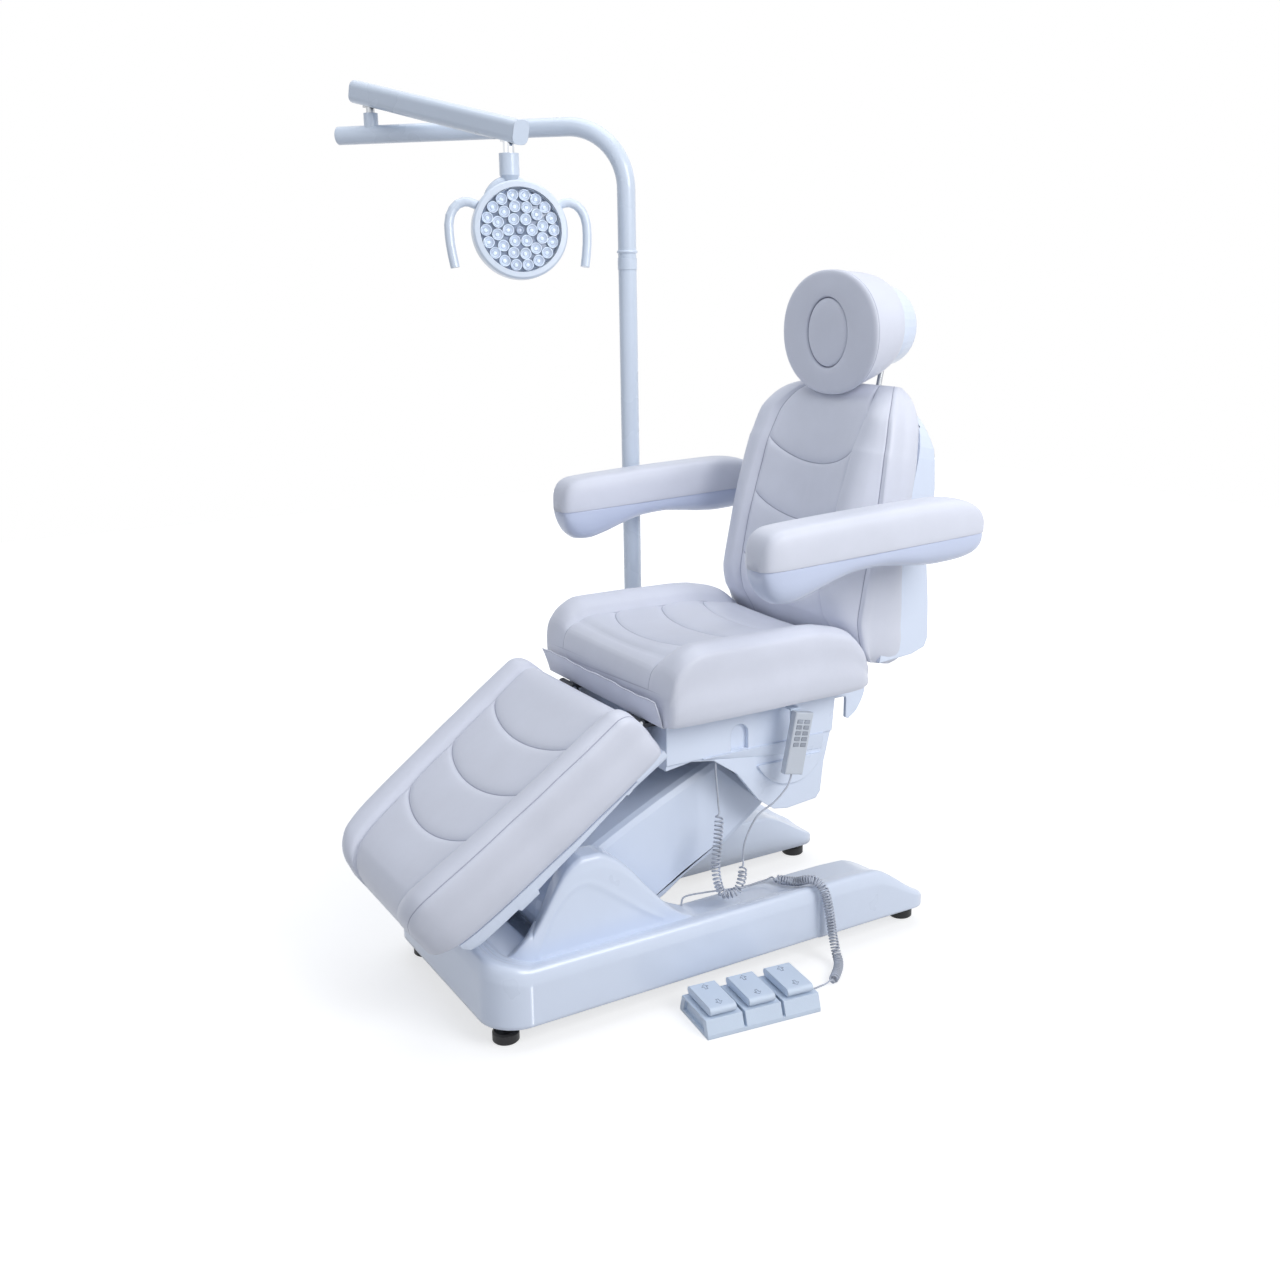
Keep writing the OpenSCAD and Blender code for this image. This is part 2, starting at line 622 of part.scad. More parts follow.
module seat_frame() {
  rail_y0 = seat_y + 2 * frame_inset;
  top = rails_z + seat_rail_h;
  color(dark) {
    both() difference() {
      union() {
        translate([rails_x - seat_rail_w / 2, rail_y0, rails_z])
          cube([seat_rail_w, seat_end_y - rail_y0, seat_rail_h]);
        translate([rails_x - leg_ear_w / 2, leg_pivot_y, leg_pivot_z - leg_knuckle_d / 2])
          cube([leg_ear_w, rail_y0 - leg_pivot_y + over, top - leg_pivot_z + leg_knuckle_d / 2]);
        across(leg_knuckle_d, rails_x - leg_ear_w / 2, rails_x + leg_ear_w / 2,
          leg_pivot_y, leg_pivot_z);
      }
      across(leg_pin_d, rails_x - leg_ear_w, rails_x + leg_ear_w, leg_pivot_y, leg_pivot_z);
    }
    for (y = [rail_y0, seat_end_y - seat_rail_w])
      translate([-rails_x, y, rails_z]) cube([2 * rails_x, seat_rail_w, seat_rail_h]);
    both() difference() {
      plate(concat([[high_y - 2 * pivot_r, top], [high_y - 2 * pivot_r, rails_z]],
        arc(high_y, high_z, pivot_r, 180, 360, 12),
        [[high_y + link_y, rails_z], [high_y + link_y, top]]), cheek_x, cheek_x + cheek_t);
      across(shaft_d, cheek_x - over, cheek_x + cheek_t + over, high_y, high_z);
    }
    lug_y = high_y + link_y;
    both() difference() {
      plate(concat([[lug_y - lug_r, top], [lug_y - lug_r, high_z - link_z]],
        arc(lug_y, high_z - link_z, lug_r, 180, 360, 12), [[lug_y + lug_r, top]]),
        lug_x, lug_x + lug_t);
      across(link_shaft_d, lug_x - over, lug_x + lug_t + over, lug_y, high_z - link_z);
    }
    translate([-rails_x, lug_y - lug_r, rails_z]) cube([2 * rails_x, 2 * lug_r, seat_rail_h]);
    fin = 3 * seat_rail_h;
    both() difference() {
      plate([[seat_end_y - 2 * seat_rail_w, top], [seat_end_y - 2 * seat_rail_w, rails_z],
        [back_pivot_y - pivot_r, rails_z], [back_pivot_y - pivot_r, back_pivot_z - fin * 0.7],
        [back_pivot_y - pivot_r + nib, back_pivot_z - fin],
        [back_pivot_y, back_pivot_z - fin * 0.8], [back_pivot_y + pivot_r * 0.7,
          back_pivot_z - fin * 0.5],
        [back_pivot_y + pivot_r, back_pivot_z - pivot_r], [back_pivot_y + pivot_r, back_pivot_z],
        [back_pivot_y + pivot_r * 0.6, top], [seat_end_y, top]],
        back_ear_x, back_ear_x + back_ear_t);
      across(back_pin_d, back_ear_x - over, back_ear_x + back_ear_t + over, back_pivot_y, back_pivot_z);
    }
  }
}

module carrier_shafts() {
  color(steel) {
    across(shaft_d, -cheek_x - cheek_t, cheek_x + cheek_t, high_y, high_z);
    across(link_shaft_d, -lug_x - lug_t, lug_x + lug_t, high_y + link_y, high_z - link_z);
    both() across(leg_pin_d, rails_x - leg_ear_w * 1.5 - ear_gap, rails_x + leg_ear_w / 2,
      leg_pivot_y, leg_pivot_z);
    both() across(back_pin_d, back_ear_x - ear_gap - 2 * back_ear_t, back_ear_x + back_ear_t,
      back_pivot_y, back_pivot_z);
  }
}

board_inset = 54;
module seat_board() {
  margin = board_inset;
  color("#d9dae0") translate([0, (seat_y + seat_end_y) / 2, seat_z - board_t])
    block([seat_w - 2 * margin, seat_l - 2 * margin, board_t], margin);
}

// Shell under the seat: its side view hangs from the board, in lengths from the upper pivot
tub_front = 296;
tub_rear = 92;
tub_belly = 84;
tub_knee = 56;

function tub_outline(d) = [
  [high_y - tub_front + d, seat_z - board_t], [high_y - tub_front + d, high_z + tub_knee + d],
  [high_y - tub_front * 0.8, high_z + tub_knee * 1.15 + d], [high_y - tub_front * 0.62,
    high_z + tub_knee + d],
  [high_y - tub_front * 0.43, high_z + tub_knee * 0.3 + d], [high_y - tub_front * 0.25,
    high_z - tub_belly * 0.6 + d],
  [high_y - tub_front * 0.12, high_z - tub_belly * 0.93 + d], [high_y, high_z - tub_belly + d],
  [high_y + tub_rear * 0.8, high_z - tub_belly * 0.92 + d], [high_y + tub_rear * 0.92 - d,
    high_z - tub_belly * 0.75],
  [high_y + tub_rear - d, high_z], [high_y + tub_rear * 1.2 - d, high_z + tub_knee * 1.3],
  [high_y + tub_rear * 1.28 - d, seat_z - board_t]];

module under_seat_shell() {
  half = tub_w / 2;
  step = 4;
  color(white) difference() {
    union() {
      plate(tub_outline(0), -half + step, half - step);
      translate([-half, 0, 0]) rotate([90, 0, 90]) linear_extrude(2 * half) intersection() {
        polygon(tub_outline(0));
        translate([seat_y, high_z + tub_knee * 1.2]) square(seat_l);
      }
    }
    inner = half - tub_wall;
    plate([[high_y - tub_front + tub_wall, seat_z], [high_y - tub_front + tub_wall, high_z - seat_l],
      [high_y + tub_rear - tub_wall, high_z - seat_l], [high_y + tub_rear - tub_wall, seat_z]],
        -inner, inner);
    translate([-inner, high_y, rails_z - nib]) cube([2 * inner, seat_l, seat_l]);
    both() translate([rails_x - leg_ear_w / 2 - nib, high_y - tub_front - over,
      leg_pivot_z - leg_knuckle_d / 2 - nib]) cube([leg_ear_w + 2 * nib, tub_wall + 2 * over, seat_z]);
    both() {
      arch_y = high_y - 0.42 * tub_front;
      plate(concat([[arch_y - seat_rail_w * 0.7, high_z + tub_knee * 1.25],
        [arch_y + seat_rail_w * 0.7, high_z + tub_knee * 1.25]],
        arc(arch_y, seat_z - 2 * seat_rail_w, seat_rail_w * 0.7, 0, 180, 10)),
        half - tub_wall + step, half + over);
    }
  }
}

// Cushion skin: rings along a path, each with drawn-in sides, crowned bolsters and a sewn centre panel
side_share = [[0.9, 0], [0.975, 0.06], [1, 0.2], [0.975, 0.5], [1, 0.8], [0.975, 0.93], [0.92, 1]];
groove_w = 7;
function pad_ring(s, w, h, panel, panel_h, crown, sag, dip, dish = 0) = let (
    edge = w * side_share[6][0], body = [for (p = side_share) [w * p[0], h * p[1]]],
    top = [[(edge + panel) * 0.52, h + crown], [panel + groove_w, h + crown * 0.62],
      [panel, panel_h - groove_w * 0.6], [panel - groove_w, panel_h - dip * 0.5],
      [panel * 0.5, panel_h + groove_w * 0.5 - dip - dish * 0.7]],
    right = concat(body, top),
    bow = function(x) sag * (1 - pow(min(abs(x) / panel, 1), 2)))
  concat([[0, s + sag, 0], [panel * 0.5, s + bow(panel * 0.5), 0]],
    [for (p = right) [p[0], s + bow(p[0]), p[1]]], [[0, s + sag, panel_h + groove_w * 0.6 - dip - dish]],
    [for (i = [len(right) - 1:-1:0]) [-right[i][0], s + bow(right[i][0]), right[i][1]]],
    [[-panel * 0.5, s + bow(panel * 0.5), 0]]);

// Each row of a cushion: place along it, width, height, bow of the panel, sewn groove
leg_share = [[0, 0.9, 0.5, 0, 0], [0.012, 0.965, 0.78, 0, 0], [0.035, 0.99, 0.94, 0, 0], [0.07, 1, 1, 0.4, 0],
  [0.2, 1, 1, 1, 0], [0.212, 1, 1, 1, 1], [0.224, 1, 1, 1, 0], [0.33, 0.985, 1, 1, 0],
  [0.42, 0.98, 1, 1, 0], [0.432, 0.98, 1, 1, 1], [0.444, 0.98, 1, 1, 0], [0.54, 0.96, 1, 1, 0],
  [0.635, 0.95, 1, 1, 0], [0.647, 0.95, 1, 1, 1], [0.659, 0.945, 1, 1, 0], [0.8, 0.915, 1, 0.5, 0],
  [0.9, 0.87, 0.97, 0.1, 0], [0.95, 0.81, 0.88, 0, 0], [0.985, 0.73, 0.7, 0, 0], [1, 0.64, 0.46, 0, 0]];
leg_crown = 9;
leg_start = 12;
leg_bow = 48;
groove_t = 6;

module leg_cushion() {
  color(leather) at_leg() translate([0, -leg_start, -leg_under]) mirror([0, 1, 0]) skin([for (r = leg_share)
    pad_ring(leg_l * r[0], leg_rest_w / 2 * r[1], leg_t * r[2], leg_panel * mix(1, 0.8,
      r[0]) * min(1, r[1] * 1.04),
      leg_t * r[2] - leg_crown, leg_crown, leg_bow * r[3], groove_t * r[4], groove_t * 0.5)]);
}

seat_share = [[0, 0.93, 0.42, 0, 0], [0.01, 0.965, 0.62, 0, 0], [0.035, 0.985, 0.78, 0, 0],
  [0.08, 0.995, 0.92, -0.1, 0], [0.14, 1, 1, -0.3, 0],
  [0.26, 1, 1.005, -0.9, 0], [0.275, 1, 1.005, -0.9, 1], [0.29, 1, 1.005, -0.9, 0], [0.4, 1, 1.005,
    -0.9, 0],
  [0.5, 0.995, 1, -0.9, 0], [0.515, 0.995, 1, -0.9, 1], [0.53, 0.99, 1, -0.9, 0], [0.62, 0.985, 1, -0.8, 0],
  [0.72, 0.98, 0.98, -0.7, 0], [0.735, 0.98, 0.98, -0.7, 1], [0.75, 0.98, 0.96, -0.7, 0],
  [0.88, 0.97, 0.84, -0.2, 0], [0.95, 0.95, 0.62, 0, 0], [1, 0.9, 0.34, 0, 0]];
seat_crown = 5;
seat_bow = 55;
seat_dish = 22;

module seat_cushion() {
  color(leather) translate([0, seat_y, seat_z]) skin([for (r = seat_share) let (
      dish = seat_dish * min(1, r[0] * 12) * min(1, (1 - r[0]) * 6))
    pad_ring(seat_l * r[0], seat_w / 2 * r[1], seat_t * r[2], seat_panel,
      seat_t * r[2] - dish, seat_crown, seat_bow * r[3], groove_t * r[4])]);
}

// Backrest rows: height, width, band depth, panel depth, bolster crown, bow, groove
back_share = [[0.087, 0.9, 0.18, 0.2, 0.02, 0, 0], [0.119, 0.95, 0.5, 0.52, 0.05, 0, 0],
  [0.159, 0.97, 0.7, 0.74, 0.1, 0, 0], [0.191, 0.98, 0.82, 0.96, 0.25, 0, 0], [0.223, 0.985, 0.9, 1.15,
    0.4, 0.2, 0],
  [0.3, 1, 0.96, 1.34, 0.52, 0.8, 0], [0.345, 1, 0.97, 1.36, 0.52, 1, 0], [0.356, 1, 0.97, 1.36, 0.52,
    1, 1],
  [0.367, 1, 0.97, 1.37, 0.52, 1, 0], [0.47, 1, 0.97, 1.37, 0.52, 1, 0],
  [0.565, 1, 0.97, 1.33, 0.5, 1, 0], [0.576, 1, 0.97, 1.32, 0.49, 1, 1], [0.587, 1, 0.97, 1.31, 0.48, 1, 0],
  [0.68, 0.99, 1, 1.25, 0.4, 1, 0], [0.765, 0.975, 1.02, 1.2, 0.3, 1, 0], [0.776, 0.97, 1.02, 1.19,
    0.29, 1, 1],
  [0.787, 0.965, 1, 1.16, 0.28, 1, 0], [0.87, 0.92, 0.95, 0.98, 0.2, 0.5, 0], [0.93, 0.84, 0.78, 0.78,
    0.12, 0, 0],
  [0.97, 0.74, 0.56, 0.56, 0.06, 0, 0], [1, 0.6, 0.22, 0.22, 0, 0, 0]];
back_bow = 44;

module back_cushion() {
  color(leather) at_back() rotate([90, 0, 0]) skin([for (r = back_share) let (
      dish = back_t * 0.3 * min(1, max(0, (r[0] - 0.16) * 7)) * min(1, max(0, (0.95 - r[0]) * 5)))
    pad_ring(back_h * r[0], back_w / 2 * r[1], back_t * r[2], back_panel * min(1, r[1] * 1.1),
      back_t * r[3], back_t * r[4], -back_bow * r[5], groove_t * r[6], dish)]);
}

// Strip of cover cloth that stands in the gap between the seat and the leg rest, sewn under the seat
flap_w = 478;
flap_t = 3;
flap_tuck = 14;
flap_up = 54;
flap_out = 18;
// Strip's points: share of its reach forward, and of its rise from the seat's underside
flap_share = [[0.1, 0.08], [0.36, 0.4], [0.7, 0.74], [1, 1]];

module seam_flap() {
  low = seat_z - nib;
  line = concat([[seat_y + flap_tuck, low], [seat_y - nib / 2, low]],
    [for (p = flap_share) [seat_y - nib - flap_out * p[0], low + flap_up * p[1]]]);
  turn = function(i) let (v = line[min(i + 1, len(line) - 1)] - line[max(i - 1,
    0)]) flap_t / 2 * unit([-v[1], v[0]]);
  color(leather) plate(concat([for (i = [0:len(line) - 1]) line[i] - turn(i)],
    [for (i = [len(line) - 1:-1:0]) line[i] + turn(i)]), -flap_w / 2, flap_w / 2);
}

// Handset on its hook under the seat's near edge
handset_x = 250;
handset_behind = 15;
handset_y = high_y + handset_behind;
handset_z = seat_z - board_t - handset_w * sin(handset_lean) - nib;
hook_t = 3;
case_r = 3;
button_travel = 1;

module at_handset() translate([handset_x, handset_y, handset_z]) rotate([-handset_lean, 0, 0]) children();

module handset_hook() {
  tab_w = handset_w * 0.5;
  top = seat_z - board_t;
  inner = tub_w / 2 + nib;
  tab_x = handset_x - seat_gap - hook_t;
  color(dark) {
    translate([inner, handset_y - handset_w, top - hook_t]) cube([tab_x + hook_t - inner, tab_w, hook_t]);
    translate([tab_x, handset_y - handset_w, top - handset_h * 0.3]) cube([hook_t, tab_w,
      handset_h * 0.3]);
  }
}

module handset_case() {
  half = handset_w / 2;
  color("#dfe2e4") at_handset() difference() {
    translate([0, -half, 0]) moulded([[-half, -handset_h], [half, -handset_h], [half, 0], [-half,
      0]], 0, handset_t, case_r);
    for (row = [0:4], col = [-1, 1]) translate([handset_t - button_out,
      -half + col * handset_w * 0.2 - button_w / 2 - seat_gap,
      -handset_h * 0.12 - row * button_pitch - button_h - seat_gap])
      cube([handset_t, button_w + 2 * seat_gap, button_h + 2 * seat_gap]);
  }
}

module handset_button(i) {
  row = floor(i / 2);
  col = i % 2 == 0 ? -1 : 1;
  color("#9aa0a8") at_handset() translate([handset_t - button_out + button_travel,
    -handset_w / 2 + col * handset_w * 0.2 - button_w / 2,
      -handset_h * 0.12 - row * button_pitch - button_h])
    cube([button_out, button_w, button_h]);
}

// Frame of the backrest: uprights with ears on the pivot pins, sleeves for the headrest, hubs for the armrests
back_post_w = 30;
back_post_t = 20;
hub_y = hub_d / 2 + nib;
hub_z = 350;
hub_reach = armrest_x - armrest_w / 2 - seat_gap;
head_post_y = head_post_d / 2 + 2 * nib;
sleeve_wall = 4;
sleeve_z = back_h * 0.62;
sleeve_l = back_h * 0.2;

module back_frame() {
  ear_in = back_ear_x - ear_gap - 2 * back_ear_t + over;
  ear_out = back_ear_x - ear_gap;
  color(dark) at_back() {
    both() difference() {
      union() {
        across(2 * pivot_r - 2 * nib, ear_in, ear_out);
        translate([ear_out - back_post_w, 0, 0]) cube([back_post_w, back_post_t, back_h * 0.9]);
      }
      across(back_pin_d + 2 * run_gap, ear_in - back_post_w, ear_out + over);
      translate([0, -pivot_r, -pivot_r]) cube([ear_in, 2 * pivot_r, 3 * pivot_r]);
    }
    for (z = [back_h * 0.2, back_h * 0.6, back_h * 0.8])
      translate([-ear_out + nib, 0, z]) cube([2 * ear_out - 2 * nib, back_post_t * 0.2, back_post_w]);
    both() translate([ear_out - nib, 0, hub_z - back_post_w / 2])
      cube([back_shell_w / 2 - 3 * soft_r - ear_out, back_post_t, back_post_w]);
    both() translate([0, hub_y, hub_z]) {
      across(hub_d, ear_out, hub_reach);
      across(hub_shaft_d, hub_reach - over, armrest_x);
    }
    both() difference() {
      translate([head_post_span / 2, head_post_y, sleeve_z])
        cylinder(d = head_post_d + 2 * sleeve_wall, h = sleeve_l);
      translate([head_post_span / 2, head_post_y, sleeve_z - over])
        cylinder(r = head_post_d / 2 + run_gap, h = sleeve_l + 2 * over);
      translate([0, -hub_d, 0]) cube([head_post_span, hub_d, back_h]);
    }
  }
}

// Side view of the shell behind the backrest, in shares of its depth and of the backrest's height
back_shell_share = [[0, 0.09], [0.7, 0.13], [0.97, 0.16], [1, 0.19], [0.93, 0.25], [0.84, 0.32], [0.63, 0.45],
  [0.56, 0.58], [0.5, 0.69], [0.33, 0.815], [0.09, 0.905], [0, 0.93]];

module back_shell() {
  half = back_shell_w / 2;
  round_h = back_h * 0.78;
  color(white) at_back() difference() {
    intersection() {
      plate([for (p = back_shell_share) [p[0] * back_shell_t, p[1] * back_h]], -half, half);
      translate([0, back_shell_t * 2, 0]) rotate([90, 0, 0]) linear_extrude(3 * back_shell_t)
        polygon(concat([[-half - over, 0], [half + over, 0], [half + over, round_h - back_shell_t]],
          [[half, round_h - back_shell_t]], arc(half - back_shell_t, round_h, back_shell_t, 0,
            90, 8),
          arc(-half + back_shell_t, round_h, back_shell_t, 90, 180, 8)));
    }
    moulded_in = 2 * soft_r;
    plate([for (p = inset([for (p = back_shell_share) [p[0] * back_shell_t, p[1] * back_h]], moulded_in))
      [p[0] < moulded_in * 1.2 ? -over : p[0], p[1]]], -half + moulded_in * 1.5,
        half - moulded_in * 1.5);
    both() translate([0, hub_y, hub_z]) across(hub_d + 2 * seat_gap, half - 3 * moulded_in, half + over);
    both() translate([head_post_span / 2, head_post_y, 0]) cylinder(d = head_post_d + 2 * nib,
      h = back_h);
    both() translate([rails_x - back_post_w / 2 - nib * 3, -over, 0])
      cube([back_post_w + nib * 3 , back_post_t + nib + over, back_h * 0.9 + nib]);
  }
}

// Loop of points in X and Z with squared ovals: power 2 is an oval, more is squarer
loop_n = 40;
function loop(w, h, power, y, z = 0) = [for (i = [0:loop_n - 1]) let (a = 360 * i / loop_n, c = cos(a),
  s = sin(a))
  [w / 2 * sign(c) * pow(abs(c), 2 / power), y, z + h / 2 * sign(s) * pow(abs(s), 2 / power)]];

head_square = 2.12;
head_axis = back_h + head_axis_over;
head_over = 12;
module at_head() translate([0, back_pivot_y, back_pivot_z])
  translate([0, head_axis * sin(back_lean) + head_post_y * cos(back_lean),
    head_axis * cos(back_lean) - head_post_y * sin(back_lean)]) children();
// Headrest rows: depth from the rear, width, height, and rise of the row's middle in heights
head_share = [[0, 0.84, 0.68, 0.1], [0.03, 0.9, 0.74, 0.095], [0.12, 0.94, 0.78, 0.085], [0.5, 0.96,
    0.88, 0.045],
  [0.86, 0.985, 0.975, 0.01], [0.91, 1, 0.995, 0], [0.96, 0.975, 0.975, 0], [0.99, 0.92, 0.92, 0], [1,
    0.84, 0.84, 0]];
head_back = 26;
plug_rim = 14;

module headrest_cushion() {
  color(leather) at_head() translate([0, -head_back, head_over]) skin(concat(
    [for (r = head_share) loop(head_w * r[1], head_h * r[2], head_square, -head_t * r[0], head_h * r[3])],
    [loop(plug_w + plug_rim, plug_h + plug_rim, 2.4, -head_t * 1.015)],
    [loop(plug_w + seat_gap, plug_h + seat_gap, 2, -head_t * 0.985)],
    [loop(plug_w, plug_h, 2, -head_t + plug_t)]));
}

module headrest_plug() {
  front = head_t * 0.985;
  color(leather) at_head() translate([0, -head_back, head_over]) skin([
    loop(plug_w - 4 * seat_gap, plug_h - 4 * seat_gap, 2, -head_t + plug_t),
    loop(plug_w - 2 * seat_gap, plug_h - 2 * seat_gap, 2, -head_t + plug_t * 0.9),
    loop(plug_w - 2 * seat_gap, plug_h - 2 * seat_gap, 2, -front + nib),
    loop(plug_w * 0.93, plug_h * 0.93, 2, -front - nib), loop(plug_w * 0.7, plug_h * 0.7, 2,
      -front - 2 * nib),
    loop(plug_w * 0.3, plug_h * 0.3, 2, -front - 2.4 * nib)]);
}

head_shell_t = 60;
module headrest_shell() {
  w = head_w * 0.86;
  h = head_h * 0.72;
  depth = head_shell_t;
  rise = head_h * 0.09;
  slot = head_post_d + 2 * nib;
  color(white) at_head() difference() {
    translate([0, -head_back, 0]) skin([loop(w, h, head_square, 0, rise),
      loop(w * 0.99, h * 0.98, head_square, depth * 0.3, rise), loop(w * 0.94, h * 0.93,
        head_square, depth * 0.7, rise),
      loop(w * 0.84, h * 0.82, head_square, depth * 0.92, rise), loop(w * 0.6, h * 0.6,
        head_square, depth, rise)]);
    across(head_post_d + 2 * run_gap, -head_post_span / 2 - slot, head_post_span / 2 + slot);
    both() translate([head_post_span / 2 - slot / 2, lip - head_back, -head_h])
      cube([slot, head_h, head_h + slot / 2]);
  }
}

module headrest_posts() {
  slot = head_post_d + 2 * nib;
  low = sleeve_z + sleeve_l * 0.1;
  color(steel) {
    both() at_back() translate([head_post_span / 2, head_post_y, low])
      cylinder(d = head_post_d, h = head_axis - low);
    at_head() across(head_post_d, -head_post_span / 2 - slot + seat_gap,
      head_post_span / 2 + slot - seat_gap);
  }
}

// Armrests: rings along Y from the rear end, in the armrest's own frame with the pivot at its origin
arm_pivot_y = back_pivot_y + hub_z * sin(back_lean) + hub_y * cos(back_lean);
arm_pivot_z = back_pivot_z + hub_z * cos(back_lean) - hub_y * sin(back_lean);
arm_seam = 15;
arm_seam_drop = 22;
arm_rear = 20;
// Pad rows: share of the length, width, height
arm_pad_share = [[0, 0.55, 0.25], [0.012, 0.8, 0.5], [0.04, 0.93, 0.72], [0.1, 0.99, 0.92], [0.2, 1, 1],
  [0.5, 1, 1.02],
  [0.8, 1, 1], [0.92, 0.98, 0.97], [0.965, 0.88, 0.86], [0.99, 0.7, 0.62], [1, 0.45, 0.35]];
pad_side_share = [[0.88, 0], [0.97, 0.06], [1, 0.3], [0.985, 0.62], [0.9, 0.84], [0.72, 0.96], [0.4, 1]];
// Shell rows: share of the length, width, depth
arm_shell_share = [[0.005, 0.6, 0.3], [0.02, 0.82, 0.5], [0.06, 0.9, 0.6], [0.12, 0.92, 0.5], [0.2, 0.92,
  0.62],
  [0.27, 0.93, 0.66], [0.36, 0.94, 0.5], [0.5, 0.94, 0.48], [0.65, 0.94, 0.66], [0.78, 0.94, 0.9],
    [0.86, 0.93, 1],
  [0.92, 0.88, 0.9], [0.965, 0.76, 0.62], [0.99, 0.6, 0.3]];
shell_side_share = [[0.35, 1], [0.7, 0.93], [0.92, 0.72], [1, 0.4], [1, 0]];
function pad_loop(s, w, h, side) = [for (i = [0:len(side) - 1]) [w * side[i][0], s, h * side[i][1]]];
function both_sides(pts) = concat(pts, [for (i = [len(pts) - 1:-1:0]) [-pts[i][0], pts[i][1], pts[i][2]]]);

module at_arm(x) translate([x, arm_pivot_y, arm_pivot_z]) children();

module armrest_pad(x) {
  color(leather) at_arm(x) skin([for (r = arm_pad_share) let (y = arm_rear - armrest_l * r[0],
      seam = arm_seam - arm_seam_drop * r[0])
    [for (p = both_sides(pad_loop(y, armrest_w / 2 * r[1], armrest_t * r[2],
      pad_side_share))) p + [0, 0, seam]]]);
}

module armrest_shell(x) {
  color(white) at_arm(x) difference() {
    skin([for (r = arm_shell_share) let (y = arm_rear - armrest_l * r[0],
      seam = arm_seam - arm_seam_drop * r[0])
      [for (p = both_sides(pad_loop(y, armrest_w / 2 * r[1], -armrest_shell_t * r[2],
        shell_side_share)))
        p + [0, 0, seam]]]);
    rotate([0, 0, x < 0 ? 180 : 0]) across(hub_shaft_d + 2 * run_gap, -armrest_w, nib);
  }
}

module armrest_pad_left() armrest_pad(armrest_x);
module armrest_pad_right() armrest_pad(-armrest_x);
module armrest_shell_left() armrest_shell(armrest_x);
module armrest_shell_right() armrest_shell(-armrest_x);

// Leg rest frame: knuckles on the seat frame's pins, rails inside the pan
leg_rail_t = 18;
leg_ear_x = rails_x - leg_ear_w / 2 - ear_gap;

module leg_frame() {
  rail_top = -leg_under;
  rail_low = rail_top - leg_rail_t;
  knee = 40;
  color(dark) at_leg() both() difference() {
    union() {
      across(leg_knuckle_d, leg_ear_x - leg_ear_w, leg_ear_x);
      plate([[leg_knuckle_d / 2, 0], [-leg_knuckle_d / 2, 0], [-leg_knuckle_d / 2, rail_top],
        [-knee, rail_top], [-knee, rail_low], [-leg_knuckle_d / 2, rail_low]],
        leg_ear_x - leg_ear_w, leg_ear_x);
      translate([leg_ear_x - leg_ear_w, -leg_l * 0.85, rail_low])
        cube([leg_ear_w, leg_l * 0.85 - knee + over, leg_rail_t]);
    }
    across(leg_pin_d + 2 * run_gap, leg_ear_x - 2 * leg_ear_w, leg_ear_x + leg_ear_w);
  }
  color(dark) at_leg() for (s = [0.25, 0.8])
    translate([-leg_ear_x, -leg_l * s, rail_low]) cube([2 * leg_ear_x, leg_ear_w, leg_rail_t]);
}

function leg_plan(d) = let (w0 = leg_rest_w * 0.465 - d, w1 = leg_rest_w * 0.4 - d, r = 70 - d,
  s0 = leg_start + d,
    s1 = leg_l * 0.945 - d) concat(
  [[-w1, -s1 + r], [-w0, -s0]], [[w0, -s0], [w1, -s1 + r]],
  [for (p = arc(w1 - r, -s1 + r, r, -15, -90, 5)) p], [for (p = arc(-w1 + r, -s1 + r, r, -90, -165, 5)) p]);

module leg_pan() {
  top = -leg_under;
  edge = leg_pan_t * 0.4;
  levels = [[-leg_pan_t, edge], [-leg_pan_t * 0.85, edge * 0.3], [-leg_pan_t * 0.6, 0], [0, 0]];
  gap = nib;
  color(white) at_leg() difference() {
    skin([for (l = levels) [for (p = leg_plan(l[1])) [p[0], p[1], top + l[0]]]]);
    both() translate([leg_ear_x - leg_ear_w - gap, -leg_l * 0.85 - gap, top - leg_rail_t - seat_gap])
      cube([leg_ear_w + 2 * gap, leg_l, leg_rail_t + seat_gap + over]);
    for (s = [0.25, 0.8]) translate([-leg_ear_x - gap, -leg_l * s - gap, top - leg_rail_t - seat_gap])
      cube([2 * leg_ear_x, leg_ear_w + 2 * gap, leg_rail_t + seat_gap + over]);
  }
}

// Lamp stand
lower_dir = [cos(lower_arm_turn), sin(lower_arm_turn)];
elbow_reach = lower_arm_l - elbow_inset;
elbow_at = [post_x, post_y] + elbow_reach * lower_dir;
boss_top = lower_arm_z + tube_d / 2 + boss_h;
arm_axis_z = boss_top + elbow_gap + upper_arm_h / 2;
knuckle_at = elbow_at + upper_arm_l * cos(upper_arm_drop) * [cos(upper_arm_turn), sin(upper_arm_turn)];
knuckle_z = arm_axis_z - upper_arm_l * sin(upper_arm_drop);
cross_d = 12;
tongue_t = 18;
tongue_r = 17;

module at_lower_arm() translate([post_x, post_y, lower_arm_z]) rotate([0, 0, lower_arm_turn]) children();

module tube_path(d) {
  at_lower_arm() {
    translate([0, 0, -lower_arm_z + joint_z]) cylinder(d = d, h = lower_arm_z - joint_z - bend_r);
    translate([bend_r, 0, -bend_r]) rotate([90, 0, 0]) mirror([1, 0, 0])
      rotate_extrude(angle = 90) translate([bend_r, 0]) circle(d = d);
    translate([bend_r, 0, 0]) rotate([0, 90, 0]) cylinder(d = d, h = lower_arm_l - bend_r);
  }
}

